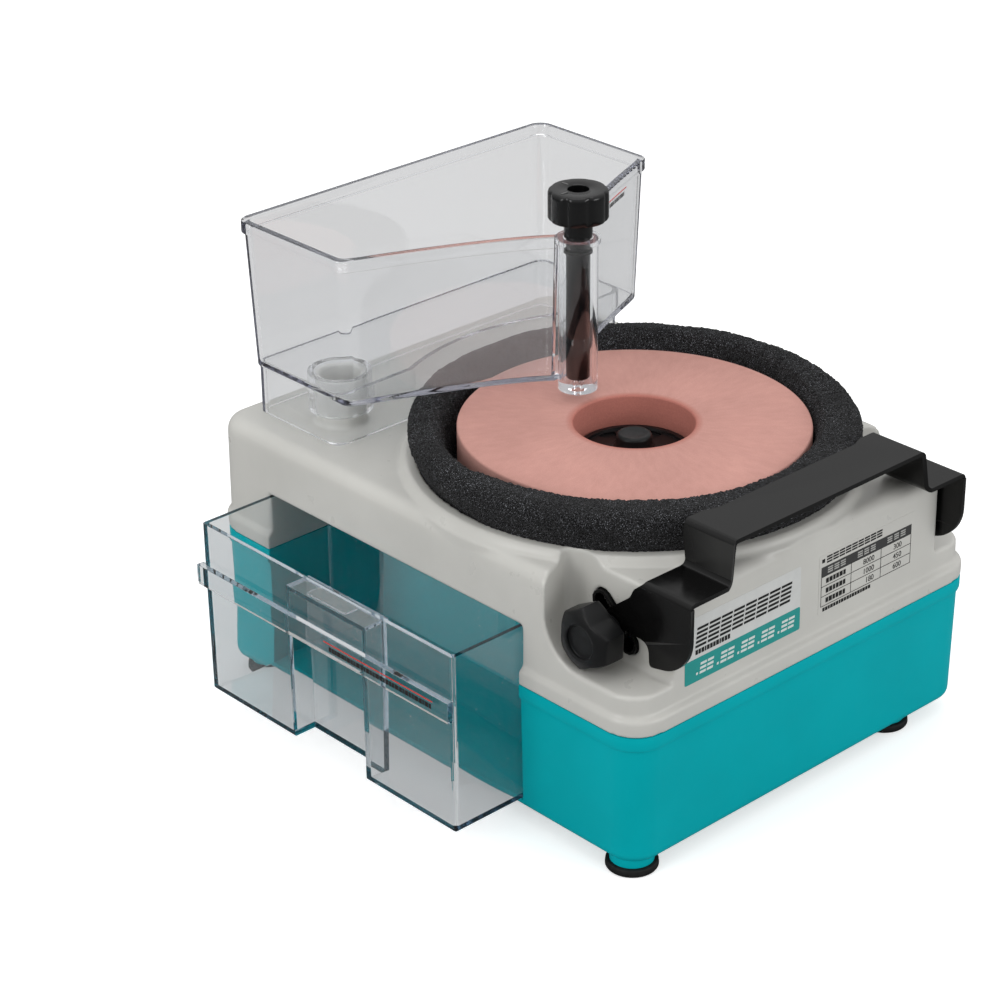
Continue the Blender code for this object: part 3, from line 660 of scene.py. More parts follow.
def pocket_loops(side, grow):
    """Plan outlines of a front corner pocket, floor upwards; grow offsets the walls."""
    curve = 24.0
    steps = 10
    floor_z = 100.0
    loops = []
    levels = []
    for k in range(steps + 1):
        t = radians(90.0 - 90.0 * k / steps)
        levels.append((floor_z + curve - curve * sin(t), curve * cos(t) - curve))
    levels.append((156.0, 0.0))
    for z, shift in levels:
        x = -95.0 + grow
        y = shift + grow
        pts = [(x, -140.0), (x, y - 61.0), (x - 4.0, y - 52.5), (-135.0, y - 66.4), (-135.0, -140.0)]
        pts = soft_corners(pts, 4.0, 4)
        if side > 0:
            pts = [(-px, py) for px, py in reversed(pts)]
        loops.append([(px, py, z - grow) for px, py in pts])
    return loops


def slot_solid(name, side, radius, x0, x1, mat, steps=14):
    """Slanted bar with round ends that follows the slot of a clamp, between two X planes."""
    lean = atan2(SLOT_TOP[1] - SLOT_LOW[1], SLOT_TOP[0] - SLOT_LOW[0])
    ring = []
    for (y, z), turn in ((SLOT_TOP, -90.0), (SLOT_LOW, 90.0)):
        for k in range(steps + 1):
            a = lean + radians(turn + 180.0 * k / steps)
            ring.append((y + radius * cos(a), z + radius * sin(a)))
    return prism(name, "X", ring, side * x0, side * x1, mat)


def cover_shell():
    """Grey upper housing with the splash basin, its lip, the corner pockets, slots and tank post."""
    mat = grey_abs()
    levels = [(0.0, SEAM + 0.15, 0.0), (0.0, SEAM + 7.3, 0.0), (0.5, SEAM + 8.3, 0.0),
              (1.1, SEAM + 8.8, 0.3), (2.4, SEAM + 9.4, 1.2)]
    levels += [(i, z, 1.4) for i, z in arc_levels(2.9, 135.6, 10.6, COVER_TOP, 9, False)]
    loops = [shell_loop(i, z, f, max(CORNER - i, 8.4)) for i, z, f in levels]
    cover = loft("cover_shell", loops, mat)
    lip = turned("lip", "Z", ORIGIN, (
        (104.0, 138.0), (121.6, 138.0), (121.6, COVER_TOP - 0.6), (119.9, COVER_TOP + 0.1),
        (118.8, COVER_TOP + 1.4), (118.0, COVER_TOP + 3.0), (117.4, LIP_TOP - 0.9), (116.4, LIP_TOP),
        (104.0, LIP_TOP)), mat, 180)
    cut(lip, block("trim", -140.0, 140.0, -140.0, -120.6, 130.0, 160.0, mat))
    hollow = loft("hollow", (shell_loop(3.2, 70.0), shell_loop(5.5, 88.0, 1.4), shell_loop(5.9, 137.0, 1.4),
                             shell_loop(11.0, COVER_TOP - WALL, 1.4, 7.0)), mat)
    cut(hollow, rod("basin", "Z", ORIGIN, WELL_R + WELL_WALL, WELL_FLOOR - 3.0, 150.0, mat, 120))
    cut(hollow, block("bay", -140.0, BAY_X + 2.6, OPEN_Y0 - 2.6, OPEN_Y1 + 2.6, 60.0, 118.2, mat))
    cut(hollow, loft("pocket", pocket_loops(-1, 2.6), mat), loft("pocket", pocket_loops(1, 2.6), mat))
    fuse(cover, lip)
    cut(cover, hollow)
    cut(cover, block("inside", -140.0, BAY_X, OPEN_Y0, OPEN_Y1, 60.0, OPEN_Z1, mat))
    cut(cover, loft("pocket", pocket_loops(-1, 0.0), mat), loft("pocket", pocket_loops(1, 0.0), mat))
    cut(cover, rod("well", "Z", ORIGIN, WELL_R, WELL_FLOOR, 160.0, mat, 180))
    fuse(cover, rod("hub", "Z", ORIGIN, 18.0, 118.0, 128.5, mat, 64))
    cut(cover, rod("bore", "Z", ORIGIN, 14.0, 110.0, 140.0, mat, 64))
    cut(cover, rod("drain", "Z", (-72.0, 30.0, 0), 6.0, 110.0, 130.0, mat, 32))
    fuse(cover, tube("post", "Z", (-POST_X, POST_Y, 0.0), 9.8, 12.3, 139.0, 170.4, mat, 64))
    for s in (-1, 1):
        cut(cover, slot_solid("slot", s, 6.2, 90.0, 100.0, mat))
    cut(cover, rod("dial_hole", "X", (0.0, *DIAL), 4.2, 112.0, 130.0, mat, 32))
    cut(cover, block("switch_hole", 112.0, 130.0, 5.0, 25.0, 94.5, 109.5, mat))
    cut(cover, rod("cord_hole", "Y", CORD_AT, 6.4, 180.0, 200.0, mat, 32))
    moulded_edges(cover, 1.1, 5)
    finish_piece(cover, "machine", "grey_abs", "cover_housing")


def feet():
    for k, (x, y) in enumerate(FEET):
        profile = ((3.0, 1.6), (6.2, 1.6), (6.2, 0.4), (6.8, 0.0), (12.0, 0.0), (12.7, 0.2), (13.1, 0.8),
                   (13.15, 1.6), (12.95, 3.4), (12.6, 3.85), (12.0, 4.0), (3.0, 4.0))
        foot = turned("rubber_foot_%d" % (k + 1), "Z", (x, y, 0), profile, rubber(), 72)
        finish_piece(smooth(foot, 40.0), "machine", "black_rubber", "foot_%d" % (k + 1))


# ---- foam ring --------------------------------------------------------------------
def spline(points, per):
    """Catmull-Rom curve through a closed list of 2-D points."""
    out = []
    n = len(points)
    for k in range(n):
        a, b, c, d = [Vector(points[(k + j - 1) % n]) for j in range(4)]
        for step in range(per):
            t = step / per
            curved = (2 * a - 5 * b + 4 * c - d) * t * t
            out.append(0.5 * ((2 * b) + (c - a) * t + curved + (3 * b - a - 3 * c + d) * t ** 3))
    return out


def even_steps(points, step):
    """Points at even distances along a closed 2-D curve."""
    ring = points + [points[0]]
    lengths = np.cumsum([0.0] + [(b - a).length for a, b in zip(ring, ring[1:])])
    count = int(lengths[-1] / step)
    at = np.linspace(0.0, lengths[-1], count, endpoint=False)
    xs = np.interp(at, lengths, [p.x for p in ring])
    ys = np.interp(at, lengths, [p.y for p in ring])
    return list(zip(xs, ys))


def foam_ring():
    """Foam splash collar with a torn open-cell surface.

    It spreads over the lip except at the back, swells inwards at the front, stands a little higher at
    the back right and is squeezed flat where the rest's bar crosses it.
    """
    profile = [(92.8, 120.3), (101.0, 120.1), (109.6, 120.3), (109.8, 135.0), (110.0, 147.6),
               (110.9, 150.2), (112.9, 154.2), (114.5, 159.0), (114.6, 163.6), (112.9, 166.7),
               (109.4, 168.2), (105.4, 168.2), (102.2, 166.8), (99.6, 162.6), (97.0, 157.0),
               (94.4, 146.0), (93.0, 132.0)]
    step = 1.0
    ring = even_steps(spline(profile, 8), step)
    around = int(2.0 * pi * 110.0 / step)
    draw = np.random.default_rng(11)
    bm = bmesh.new()
    rows = []
    for k in range(around):
        a = 2.0 * pi * k / around
        c, s = cos(a), sin(a)
        row = []
        turn = degrees(a)
        seat = min(1.0, max(0.0, (turn - 179.0) / 4.0)) + min(1.0, max(0.0, (70.0 - turn) / 20.0))
        bulge = 8.5 * max(0.0, cos(a + radians(95.0))) ** 0.4
        lift = 2.2 * max(0.0, cos(a - radians(50.0)))
        for r, z in ring:
            if r < 104.5:
                r -= bulge * min(1.0, max(0.0, (z - 140.0) / 20.0))
            elif 147.0 < z < 154.0:
                r += 2.4 * seat * (1.0 - (z - 147.0) / 9.0)
                z = max(z, LIP_TOP + 0.3) if r > WELL_R - 0.6 else z
            slow = noise.noise(Vector((c * r * 0.045, s * r * 0.045, z * 0.05)))
            mid = noise.noise(Vector((c * r * 0.35, s * r * 0.35, z * 0.35)))
            jog = draw.uniform(-0.5, 0.5)
            swell = 0.5 * slow + 0.3 * mid + jog
            out = r + swell * (1.0 if r > 102.0 else -1.0)
            up = z
            if z > 150.0:
                up += 0.6 * slow + draw.uniform(-0.5, 0.5) + lift * min(1.0, (z - 150.0) / 14.0)
            row.append((c * out, s * out, up))
        rows.append(row)
    under_tank = 170.5
    under_rest = 167.4
    clear_of_stone = 91.2
    for row in rows:
        for i, (x, y, z) in enumerate(row):
            lid = under_rest if y < -94.0 and abs(x) < 74.0 else under_tank
            if hypot(x, y) < clear_of_stone:
                scale = clear_of_stone / hypot(x, y)
                x *= scale
                y *= scale
            row[i] = (x, y, min(z, lid))
    verts = [[bm.verts.new(p) for p in row] for row in rows]
    m = len(ring)
    for k in range(around):
        one = verts[k]
        two = verts[(k + 1) % around]
        for i in range(m):
            j = (i + 1) % m
            bm.faces.new((one[i], one[j], two[j], two[i]))
    foam = new_piece("foam_collar", bm, open_cell_foam())
    finish_piece(smooth(foam, 180.0), "machine", "charcoal_foam", "splash_ring")


# ---- stone ------------------------------------------------------------------------
def stone():
    """Water stone with a grooved bore, on a recessed hub disc with a centre button."""
    low = STONE_LOW.z
    profile = [(89.0, low), (89.7, low + 0.3), (90.0, low + 1.0), (90.0, STONE_TOP - 1.1),
               (89.75, STONE_TOP - 0.4), (89.1, STONE_TOP), (60.0, STONE_TOP), (32.0, STONE_TOP),
               (31.4, STONE_TOP - 0.2), (31.05, STONE_TOP - 0.8)]
    rings = 26
    for k in range(rings):
        z = STONE_TOP - 1.2 - (STONE_TOP - low - 2.0) * k / rings
        profile.append((31.0 + (0.14 if k % 2 else 0.0) + 0.05 * sin(2.3 * k), z))
    profile.append((31.1, low))
    wheel = turned("water_stone", "Z", ORIGIN, profile, water_stone(), 224)
    finish_piece(smooth(wheel, 60.0), "spindle_unit", "pink_stone", "grinding_stone")
    hub = turned("hub_disc", "Z", ORIGIN, (
        (6.3, 134.5), (30.4, 134.5), (30.4, 146.6), (30.0, 147.8), (29.0, 148.3), (26.6, 148.4),
        (26.2, 147.2), (11.6, 147.2), (11.2, 148.4), (6.3, 148.4)), black_abs(), 128)
    for k in range(6):
        corners = ((13.2, 9.0), (25.0, 9.0), (26.0, 21.0), (25.0, 33.0))
        wedge = [arc(0.0, 0.0, r, 60.0 * k + a, 0.0, 1)[0] for r, a in corners]
        cut(hub, prism("wedge", "Z", soft_corners(wedge, 1.0, 3, True), 146.1, 150.0, black_abs()))
    crisp(hub, 0.25)
    finish_piece(hub, "spindle_unit", "black_plastic", "stone_hub")
    button = turned("button_cap", "Z", ORIGIN, (
        (0.0, 148.7), (10.6, 148.7), (10.6, 150.2), (9.8, 150.9), (9.3, 151.4), (9.2, 155.6), (8.9, 156.7),
        (8.2, 157.3), (7.2, 157.5), (6.6, 157.35), (0.0, 157.2)), black_abs(), 96)
    finish_piece(smooth(button, 50.0), "spindle_unit", "black_plastic", "centre_button")


# ---- drawer -----------------------------------------------------------------------
def drawer():
    """Clear drawer with a band round its front and a hooked finger recess."""
    mat = drawer_clear()
    x0, x1, y0, y1 = DRAWER_X0, DRAWER_X1, DRAWER_Y0, DRAWER_Y1
    body = loft("clear_drawer", (
        rounded(x0 + 1.0, x1 - 1.0, y0 + 1.0, y1 - 1.0, 1.0, DRAWER_Z0, 3),
        rounded(x0 + 0.3, x1 - 0.3, y0 + 0.3, y1 - 0.3, 1.5, DRAWER_Z0 + 0.8, 3),
        rounded(x0, x1, y0, y1, 1.6, DRAWER_Z0 + 60.0, 3),
        rounded(x0, x1, y0, y1, 1.6, DRAWER_Z1, 3)), mat)
    inner = loft("inner", (
        rounded(x0 + 2.9, x1 - 2.9, y0 + 2.9, y1 - 2.9, 1.2, DRAWER_Z0 + 2.5, 3),
        rounded(x0 + 2.4, x1 - 2.4, y0 + 2.4, y1 - 2.4, 1.2, DRAWER_Z1 + 4.0, 3)), mat)
    cut(inner, block("keep", x0 - 5.0, x0 + 15.9, RECESS_Y0 - 2.4, RECESS_Y1 + 2.4, 0.0, RECESS_TOP, mat))
    cut(body, inner)
    fuse(body, block("band", x0 - 3.0, x0 + 1.2, y0 + 0.6, y1 + 2.7, BAND_Z0, BAND_Z1, mat))
    cut(body, block("recess", x0 - 9.0, x0 + 13.5, RECESS_Y0, RECESS_Y1, 0.0, BAND_Z0, mat))
    cut(body, block("hook", x0 + 2.4, x0 + 13.5, RECESS_Y0, RECESS_Y1, 70.0, RECESS_TOP - 2.4, mat))
    crisp(body, 0.3, 40.0)
    finish_piece(body, "drawer", "clear_styrene", "waste_drawer")
    grip = rounded(x0 + 3.4, x0 + 12.6, RECESS_Y0 + 14.0, RECESS_Y1 - 12.0, 2.0, RECESS_TOP + 0.02, 4)
    plate = prism("grip_plate", "Z", [p[:2] for p in grip], RECESS_TOP + 0.02, RECESS_TOP + 1.0, mat)
    crisp(plate, 0.3, 40.0)
    finish_piece(plate, "drawer", "clear_styrene")


def bars_mesh(bm, boxes, plane, depth, lean=0.0, foot=0.0):
    """Thin raised bars (a0, a1, b0, b1) on a plane, slanted by lean above the line foot."""
    for a0, a1, b0, b1 in boxes:
        corners = [(a0, b0), (a1, b0), (a1, b1), (a0, b1)]
        low = [bm.verts.new(plane(a + lean * (b - foot), b, 0.0)) for a, b in corners]
        high = [bm.verts.new(plane(a + lean * (b - foot), b, depth)) for a, b in corners]
        for i in range(4):
            j = (i + 1) % 4
            bm.faces.new((low[i], low[j], high[j], high[i]))
        bm.faces.new(list(reversed(low)))
        bm.faces.new(high)


def printed(name, boxes, plane, depth, mat, body, *nodes, slot="white_film"):
    """A finished piece made of thin raised bars."""
    bm = bmesh.new()
    bars_mesh(bm, boxes, plane, depth)
    return finish_piece(new_piece(name, bm, mat), body, slot, *nodes)


def word_bars(start, stop, base, height, widths, gap):
    """A line of plain bars standing for words, repeated until the line is full."""
    boxes = []
    at = start
    k = 0
    while at < stop - 0.5:
        end = min(at + widths[k % len(widths)], stop)
        boxes.append((at, end, base, base + height))
        at = end + gap
        k += 1
    return boxes


def drawer_print():
    """Row of word-like bars along the drawer's band, under a red rule."""
    def plane(a, b, out):
        return (DRAWER_X0 - 3.03 - out, a, b)

    line = word_bars(-33.0, 43.0, BAND_Z0 + 3.4, 2.7, (1.7, 2.4, 1.3, 2.1, 2.8, 1.6), 0.42)
    printed("drawer_words", line, plane, 0.12, ink(), "drawer", "drawer_label")
    rule = [(-34.0, 47.0, BAND_Z1 - 3.8, BAND_Z1 - 3.2)]
    printed("drawer_rule", rule, plane, 0.12, red_ink(), "drawer")


# ---- water tank -------------------------------------------------------------------
def tank_loop(inset, z):
    """Tank outline: straight back and sides, bell-shaped front that closes on the tap."""
    half = TANK_HALF - inset
    back = TANK_BACK - inset
    right = []
    count = 22
    for k in range(count + 1):
        x = 6.0 + (half - 9.0 - 6.0) * (k / count) ** 1.15
        right.append((x, TAP_Y + inset + 1.889 * x ** 0.73))
    y_side = TAP_Y + inset + 1.889 * half ** 0.73
    turn = [(right[-1][0] + 0.5, right[-1][1] + 0.1), (half, y_side + 0.6), (half, y_side + 9.0)]
    right += soft_corners(turn, 6.0, 7)[1:-1]
    r = 8.0 - 0.5 * inset
    right += arc(half - r, back - r, r, 0.0, 11.25, 9)
    left = [(-x, y) for x, y in reversed(right)]
    return [(x, y, z) for x, y in right + left]


def skirt_loop(inset, z):
    """Foot outline under the tank: its front bows round the splash ring."""
    half = 102.4 - inset
    back = 178.0 - inset
    bow = 123.5 + inset
    front = 112.5 + inset
    edge = sqrt(bow ** 2 - front ** 2)
    curve = 7.0
    corner = 6.0
    pts = arc(curve - half, front + curve, curve, 180.0, 15.0, 7)
    pts.append((-edge, front))
    start = atan2(front, -edge)
    stop = atan2(front, edge)
    steps = 24
    for k in range(1, steps):
        a = start + (stop - start) * k / steps
        pts.append((bow * cos(a), bow * sin(a)))
    pts.append((edge, front))
    pts += arc(half - curve, front + curve, curve, 270.0, 15.0, 7)
    pts += arc(half - corner, back - corner, corner, 0.0, 15.0, 7)
    pts += arc(corner - half, back - corner, corner, 90.0, 15.0, 7)
    return [(x, y, z) for x, y in pts]


def tank():
    """Clear water tank with a tapered well, a rolled rim, the tap tube, a bowed skirt and a socket."""
    mat = tank_clear()
    wall = 2.4
    low, top = TANK_FLOOR, TANK_TOP
    levels = [(5.4, low), (5.0, low), (4.4, low + 0.25), (4.17, low + 0.9), (4.14, low + 1.8),
              (1.53, top - 7.8), (1.5, top - 7.0), (0.5, top - 6.6), (0.05, top - 6.2), (0.0, top - 5.6),
              (0.0, top - 1.0), (0.05, top - 0.5), (0.25, top - 0.12), (0.7, top), (1.2, top)]
    body = loft("clear_tank", [tank_loop(i, z) for i, z in levels], mat)
    foot = 4.2 + wall
    well = [(foot + 1.4, low + 2.5), (foot + 0.8, low + 2.5), (foot + 0.2, low + 2.8),
            (4.17 + wall, low + 3.5), (4.13 + wall, low + 4.5), (1.75 + wall, top - 2.0),
            (1.7 + wall, top - 0.9), (1.5 + wall, top - 0.4), (1.1 + wall, top + 0.4)]
    cut(body, loft("well", [tank_loop(i, z) for i, z in well], mat))
    at = (0, TAP_Y, 0)
    fuse(body, rod("tube", "Z", at, 10.2, TANK_FLOOR - 1.5, TANK_TOP + 0.1, mat))
    fuse(body, rod("flange", "Z", at, 11.5, TANK_TOP - 2.2, TANK_TOP + 0.25, mat))
    fuse(body, rod("spout", "Z", at, 3.2, 166.0, TANK_FLOOR + 1.0, mat, 32))
    fuse(body, loft("skirt", (skirt_loop(0.0, COVER_TOP + 0.3), skirt_loop(0.0, TANK_FLOOR + 1.0)), mat))
    cut(body, rod("bore", "Z", at, 7.7, TANK_FLOOR + 3.5, TANK_TOP + 3.0, mat))
    cut(body, rod("hole", "Z", at, 1.6, 160.0, TANK_FLOOR + 5.0, mat, 24))
    cut(body, block("feed", -2.0, 2.0, TAP_Y + 5.0, TAP_Y + 16.0, TANK_FLOOR + 3.1, TANK_FLOOR + 12.0, mat))
    cut(body, loft("under", (skirt_loop(wall, 130.0), skirt_loop(wall, TANK_FLOOR + 0.2)), mat))
    fuse(body, tube("socket", "Z", (-POST_X, POST_Y, 0.0), 12.8, 16.2, 152.0, TANK_FLOOR + 0.9, mat))
    finish_piece(smooth(body, 30.0), "tank", "clear_styrene", "water_tank")


def tank_print():
    """Fill line and a few plain marks near the top of the tank's front wall."""
    def plane(a, b, out):
        lean = 1.53 + 2.61 * (TANK_TOP - 7.8 - b) / (TANK_TOP - 9.6 - TANK_FLOOR)
        return (a, TAP_Y + lean + 1.889 * a ** 0.73 - 0.05 - out, b)

    dashes = [(60.0 + 2.0 * k, 61.6 + 2.0 * k, 243.2, 243.8) for k in range(12)]
    printed("tank_line", dashes, plane, 0.1, red_ink(), "tank")
    words = word_bars(62.0, 82.0, 239.6, 2.2, (1.4, 2.0, 1.1), 0.7)
    printed("tank_words", words, plane, 0.1, ink(), "tank")


def lobed_loft(name, axis, centre, rings, lobes, sides, mat, origin):
    """Closed loft of rings (radius, depth, along, width); depth presses in grooves of that width."""
    loops = []
    for radius, depth, along, width in rings:
        loop = []
        for k in range(sides):
            a = 2.0 * pi * k / sides
            off = (a * lobes / (2.0 * pi)) % 1.0 - 0.5
            groove = depth * exp(-(off / width) ** 2)
            loop.append(frame_point(axis, centre, along, radius - groove, a))
        loops.append(loop)
    return loft(name, loops, mat, origin)


def tap():
    """Tap rod and its eight-lobed handle with two pointer marks."""
    c = (0.0, TAP_Y, 0.0)
    stem = turned("tap_stem", "Z", c, (
        (0.0, 175.6), (4.8, 175.6), (5.6, 175.9), (6.2, 176.8), (6.2, 198.0), (5.95, 198.3), (5.95, 199.0),
        (6.2, 199.3), (6.2, 252.4), (0.0, 252.4)), black_gloss(), 72, (0.0, TAP_Y, 176.0))
    finish_piece(smooth(stem, 40.0), "tap", "black_plastic", "tap_rod")
    top = 278.0
    rings = [
        (5.0, 0.0, 252.7, 1.0), (7.3, 0.0, 252.7, 1.0), (7.3, 0.0, 260.9, 1.0), (8.0, 0.0, 261.7, 1.0),
        (13.4, 0.1, 262.0, 0.14), (14.8, 0.4, 262.4, 0.14), (15.4, 0.8, 263.4, 0.14),
        (15.4, 0.9, 266.0, 0.14), (15.4, 0.9, 274.4, 0.14), (15.3, 0.8, 276.2, 0.14),
        (14.9, 0.5, 277.3, 0.14), (14.1, 0.2, 277.9, 0.14), (13.2, 0.0, top, 0.2), (6.0, 0.0, top, 1.0),
        (5.5, 0.0, top - 0.4, 1.0), (5.4, 0.0, 274.0, 1.0)]
    knob = lobed_loft("tap_handle", "Z", c, rings, 8, 240, satin_black(), (0.0, TAP_Y, 262.0))
    finish_piece(smooth(knob, 40.0), "tap", "black_plastic", "tap_knob")

    def plane(a, b, out):
        return (a, TAP_Y + b, top - 0.12 + out)

    marks = [(-0.5, 0.5, 7.4, 11.6), (-11.6, -7.4, -0.5, 0.5)]
    grey_ink = film("grey_ink", (0.12, 0.12, 0.12), 0.5)
    printed("tap_marks", marks, plane, 0.3, grey_ink, "tap", slot="black_plastic")


# ---- tool rest --------------------------------------------------------------------
def offset_path(path, width):
    """Closed outline of a folded strip that follows path in the XZ plane."""
    left = []
    for k, (x, z) in enumerate(path):
        before = Vector(path[max(k - 1, 0)])
        after = Vector(path[min(k + 1, len(path) - 1)])
        here = Vector((x, z))
        d1 = (here - before).normalized() if k else (after - here).normalized()
        d2 = (after - here).normalized() if k < len(path) - 1 else d1
        mid = (d1 + d2).normalized()
        left.append(here + Vector((mid.y, -mid.x)) * width / max(0.5, mid.dot(d1)))
    return [(x, z) for x, z in path] + [(p.x, p.y) for p in reversed(left)]


def tool_rest():
    """Folded steel rest: a raised bar between two bent ends whose ears turn on the clamp studs."""
    mat = black_paint()
    half = [(-99.0, 104.0), (-99.0, 148.8), (-71.2, 148.8), (-68.3, REST_Z)]
    path = half + [(-x, z) for x, z in reversed(half)]
    ring = offset_path(soft_corners(path, 3.2, 6), SHEET)
    rest = prism("folded_rest", "Y", ring, -136.0, -70.0, mat, (0.0, STUD_Y, STUD_Z))
    keep = [(-135.0, 200.0)] + arc(-113.5, 129.0, 21.5, 180.0, 6.2, 13)
    keep += [(-111.6, 106.6), (-110.2, 106.4), (-109.2, 106.9), (-108.7, 108.2), (-108.3, 114.2),
             (-107.4, 116.4), (-105.8, 117.9), (-103.6, 118.5)]
    keep += arc(STUD_Y, STUD_Z, 8.8, 167.0, 10.0, 25)
    keep += [(-95.6, 138.0), (-98.0, 143.0), (-104.0, 148.2), (-104.0, 151.0), (-100.6, 164.0),
             (-100.6, 200.0)]
    sides = prism("keep", "X", soft_corners(keep, 6.0, 3, True), -120.0, 120.0, mat)
    combine(rest, [sides], "INTERSECT")
    front = [(-110.0, -140.0), (110.0, -140.0), (110.0, -134.6), (73.0, -134.2), (67.0, -132.2),
             (-67.0, -132.2), (-73.0, -134.2), (-110.0, -134.6)]
    cut(rest, prism("front", "Z", front, 146.0, 190.0, mat))
    back = [(-56.0, -98.0), (-56.0, -100.6), (-49.0, -103.4), (49.0, -103.4), (56.0, -100.6),
            (56.0, -98.0)]
    cut(rest, prism("back", "Z", back, 160.0, 180.0, mat))
    for s in (-1, 1):
        cut(rest, rod("hole", "X", (0, STUD_Y, STUD_Z), 4.3, s * 90.0, s * 105.0, mat, 48))
    crisp(rest, 0.3, 40.0, 35.0, 3)
    even_normals(rest)
    finish_piece(rest, "rest", "black_paint", "tool_rest")


def knob_radius(angle):
    """Radius of the three-lobed knob at an angle in degrees: flat-topped lobes, hollow flanks between."""
    off = abs((angle - 2.0) % 120.0 - 60.0)
    if off <= 23.0:
        return 15.65 / cos(radians(off))
    return 13.2 + 3.8 * ((60.0 - off) / 37.0) ** 1.6


def clamp_knobs():
    """Three-lobed clamping knobs with a domed face, a dish and a blind hole for the stud."""
    step = 1.0
    angles = [step * k for k in range(int(360.0 / step))]
    back = [(0.0, 4.3, 109.5), (0.0, 4.3, 99.35), (0.0, 6.6, 99.35), (0.0, 7.1, 99.8),
            (0.0, 7.1, 102.8), (0.25, 5.2, 103.8), (0.7, 2.6, 105.2), (0.93, 0.6, 106.2),
            (0.985, 0.05, 106.9), (1.0, 0.0, 107.8)]
    face = [(1.0, 0.0, -1.3), (0.998, 0.0, -0.8), (0.99, 0.0, -0.4), (0.975, 0.0, -0.1), (0.955, 0.0, 0.0),
            (0.85, 1.2, 0.0), (0.65, 3.0, 0.0), (0.4, 5.2, 0.0), (0.2, 7.0, 0.0), (0.05, 8.6, 0.0),
            (0.0, 8.9, -0.1), (0.0, 8.6, -0.5), (0.0, 8.55, -1.7), (0.0, 8.2, -1.95), (0.0, 4.0, -2.0)]
    face_top = 120.8
    dome = 3.3
    for label, side in (("left", -1), ("right", 1)):
        loops = []
        for scale, plus, along in back + face:
            loop = []
            for angle in angles:
                a = radians(angle)
                r = knob_radius(angle) * scale + plus
                x = along if along > 50.0 else face_top - dome * (max(0.0, r - 9.0) / 8.0) ** 2 + along
                loop.append((side * x, STUD_Y + r * cos(a), STUD_Z + r * sin(a)))
            loops.append(loop)
        knob = loft("lobed_knob_" + label, loops, black_abs(), (side * 99.0, STUD_Y, STUD_Z))
        finish_piece(smooth(knob, 30.0), "knob_" + label, "black_plastic", "clamp_knob_" + label)


# ---- labels and controls ----------------------------------------------------------
def front_wall(z):
    """Y of the cover's front wall, which leans back a little."""
    return Y_FRONT + 3.6 + (z - 89.4) * 0.01515


def front_plane(a, b, out):
    return (a, front_wall(b) - 0.14 - out, b)


def label_film(name, x0, x1, z0, z1, radius, mat, out, thick):
    ring = rounded(x0, x1, z0, z1, radius, 0.0, 4)
    low = [(x, front_wall(z) + 0.6 - out, z) for x, z, _ in ring]
    high = [(x, front_wall(z) - out - thick, z) for x, z, _ in ring]
    return smooth(loft(name, (low, high), mat))


def number(text, x, z, height):
    """Raised figures on the label plane, as a mesh in mm."""
    curve = bpy.data.curves.new("figures", "FONT")
    curve.body = text
    curve.size = height * 1.42
    curve.align_x = "RIGHT"
    curve.resolution_u = 3
    holder = bpy.data.objects.new("figures", curve)
    bpy.context.scene.collection.objects.link(holder)
    mesh = evaluated_mesh(holder)
    bpy.data.objects.remove(holder, do_unlink=True)
    flat = [(v.co.x + x, v.co.y + z) for v in mesh.vertices]
    faces = [tuple(p.vertices) for p in mesh.polygons]
    return flat, faces


def add_flat(bm, flat, faces, out):
    verts = [bm.verts.new(front_plane(a, b, out)) for a, b in flat]
    made = [bm.faces.new([verts[i] for i in reversed(face)]) for face in faces]
    bmesh.ops.recalc_face_normals(bm, faces=made)
    solid = bmesh.ops.extrude_face_region(bm, geom=made)
    for item in solid["geom"]:
        if isinstance(item, bmesh.types.BMVert):
            item.co.y += 0.08


def name_label():
    """White name film with a teal band; slanted stripes stand for its lettering."""
    x0, x1, z0, z1 = -88.3, -7.7, 96.0, 130.5
    white = film("label_white", (0.60, 0.61, 0.60), 0.34)
    backing = label_film("name_film", x0, x1, z0, z1, 1.2, white, 0.0, 0.1)
    finish_piece(backing, "machine", "white_film", "name_label")
    teal = film("label_teal", (0.018, 0.29, 0.27), 0.34)
    edge = 0.05
    band = label_film("name_band", x0 + edge, x1 - edge, z0 + edge, z0 + 12.5, 1.0, teal, edge, 0.1)
    finish_piece(band, "machine", "white_film")
    slant = 0.14
    pitch = 2.3
    stripe = 1.25
    foot = z0 + 18.2
    glyph = 7.4
    title = []
    for k in range(8):
        a = x0 + 7.0 + k * (glyph + 0.95)
        for row in range(5):
            b = foot + row * pitch
            title.append((a, a + glyph, b, b + stripe))
    bm = bmesh.new()
    bars_mesh(bm, title, front_plane, 0.1, slant, foot)
    model = word_bars(x0 + 7.2, x0 + 31.4, z0 + 14.5, 2.5, (1.6, 1.5, 1.8, 0.9, 1.7), 0.5)
    bars_mesh(bm, model, front_plane, 0.1)
    finish_piece(new_piece("name_words", bm, ink()), "machine", "white_film")
    foot = z0 + 3.4
    marks = []
    for k in range(5):
        a = x0 + 7.6 + k * 14.2
        marks.append((a, a + 1.2, z0 + 3.6, z0 + 4.8))
        for row in range(3):
            b = foot + row * pitch
            marks.append((a + 2.4, a + 6.6, b, b + stripe))
            marks.append((a + 7.3, a + 11.5, b, b + stripe))
    bm = bmesh.new()
    bars_mesh(bm, marks, front_plane, 0.12, slant, foot)
    white_ink = film("white_ink", (0.66, 0.72, 0.70), 0.4)
    finish_piece(new_piece("band_words", bm, white_ink), "machine", "white_film")


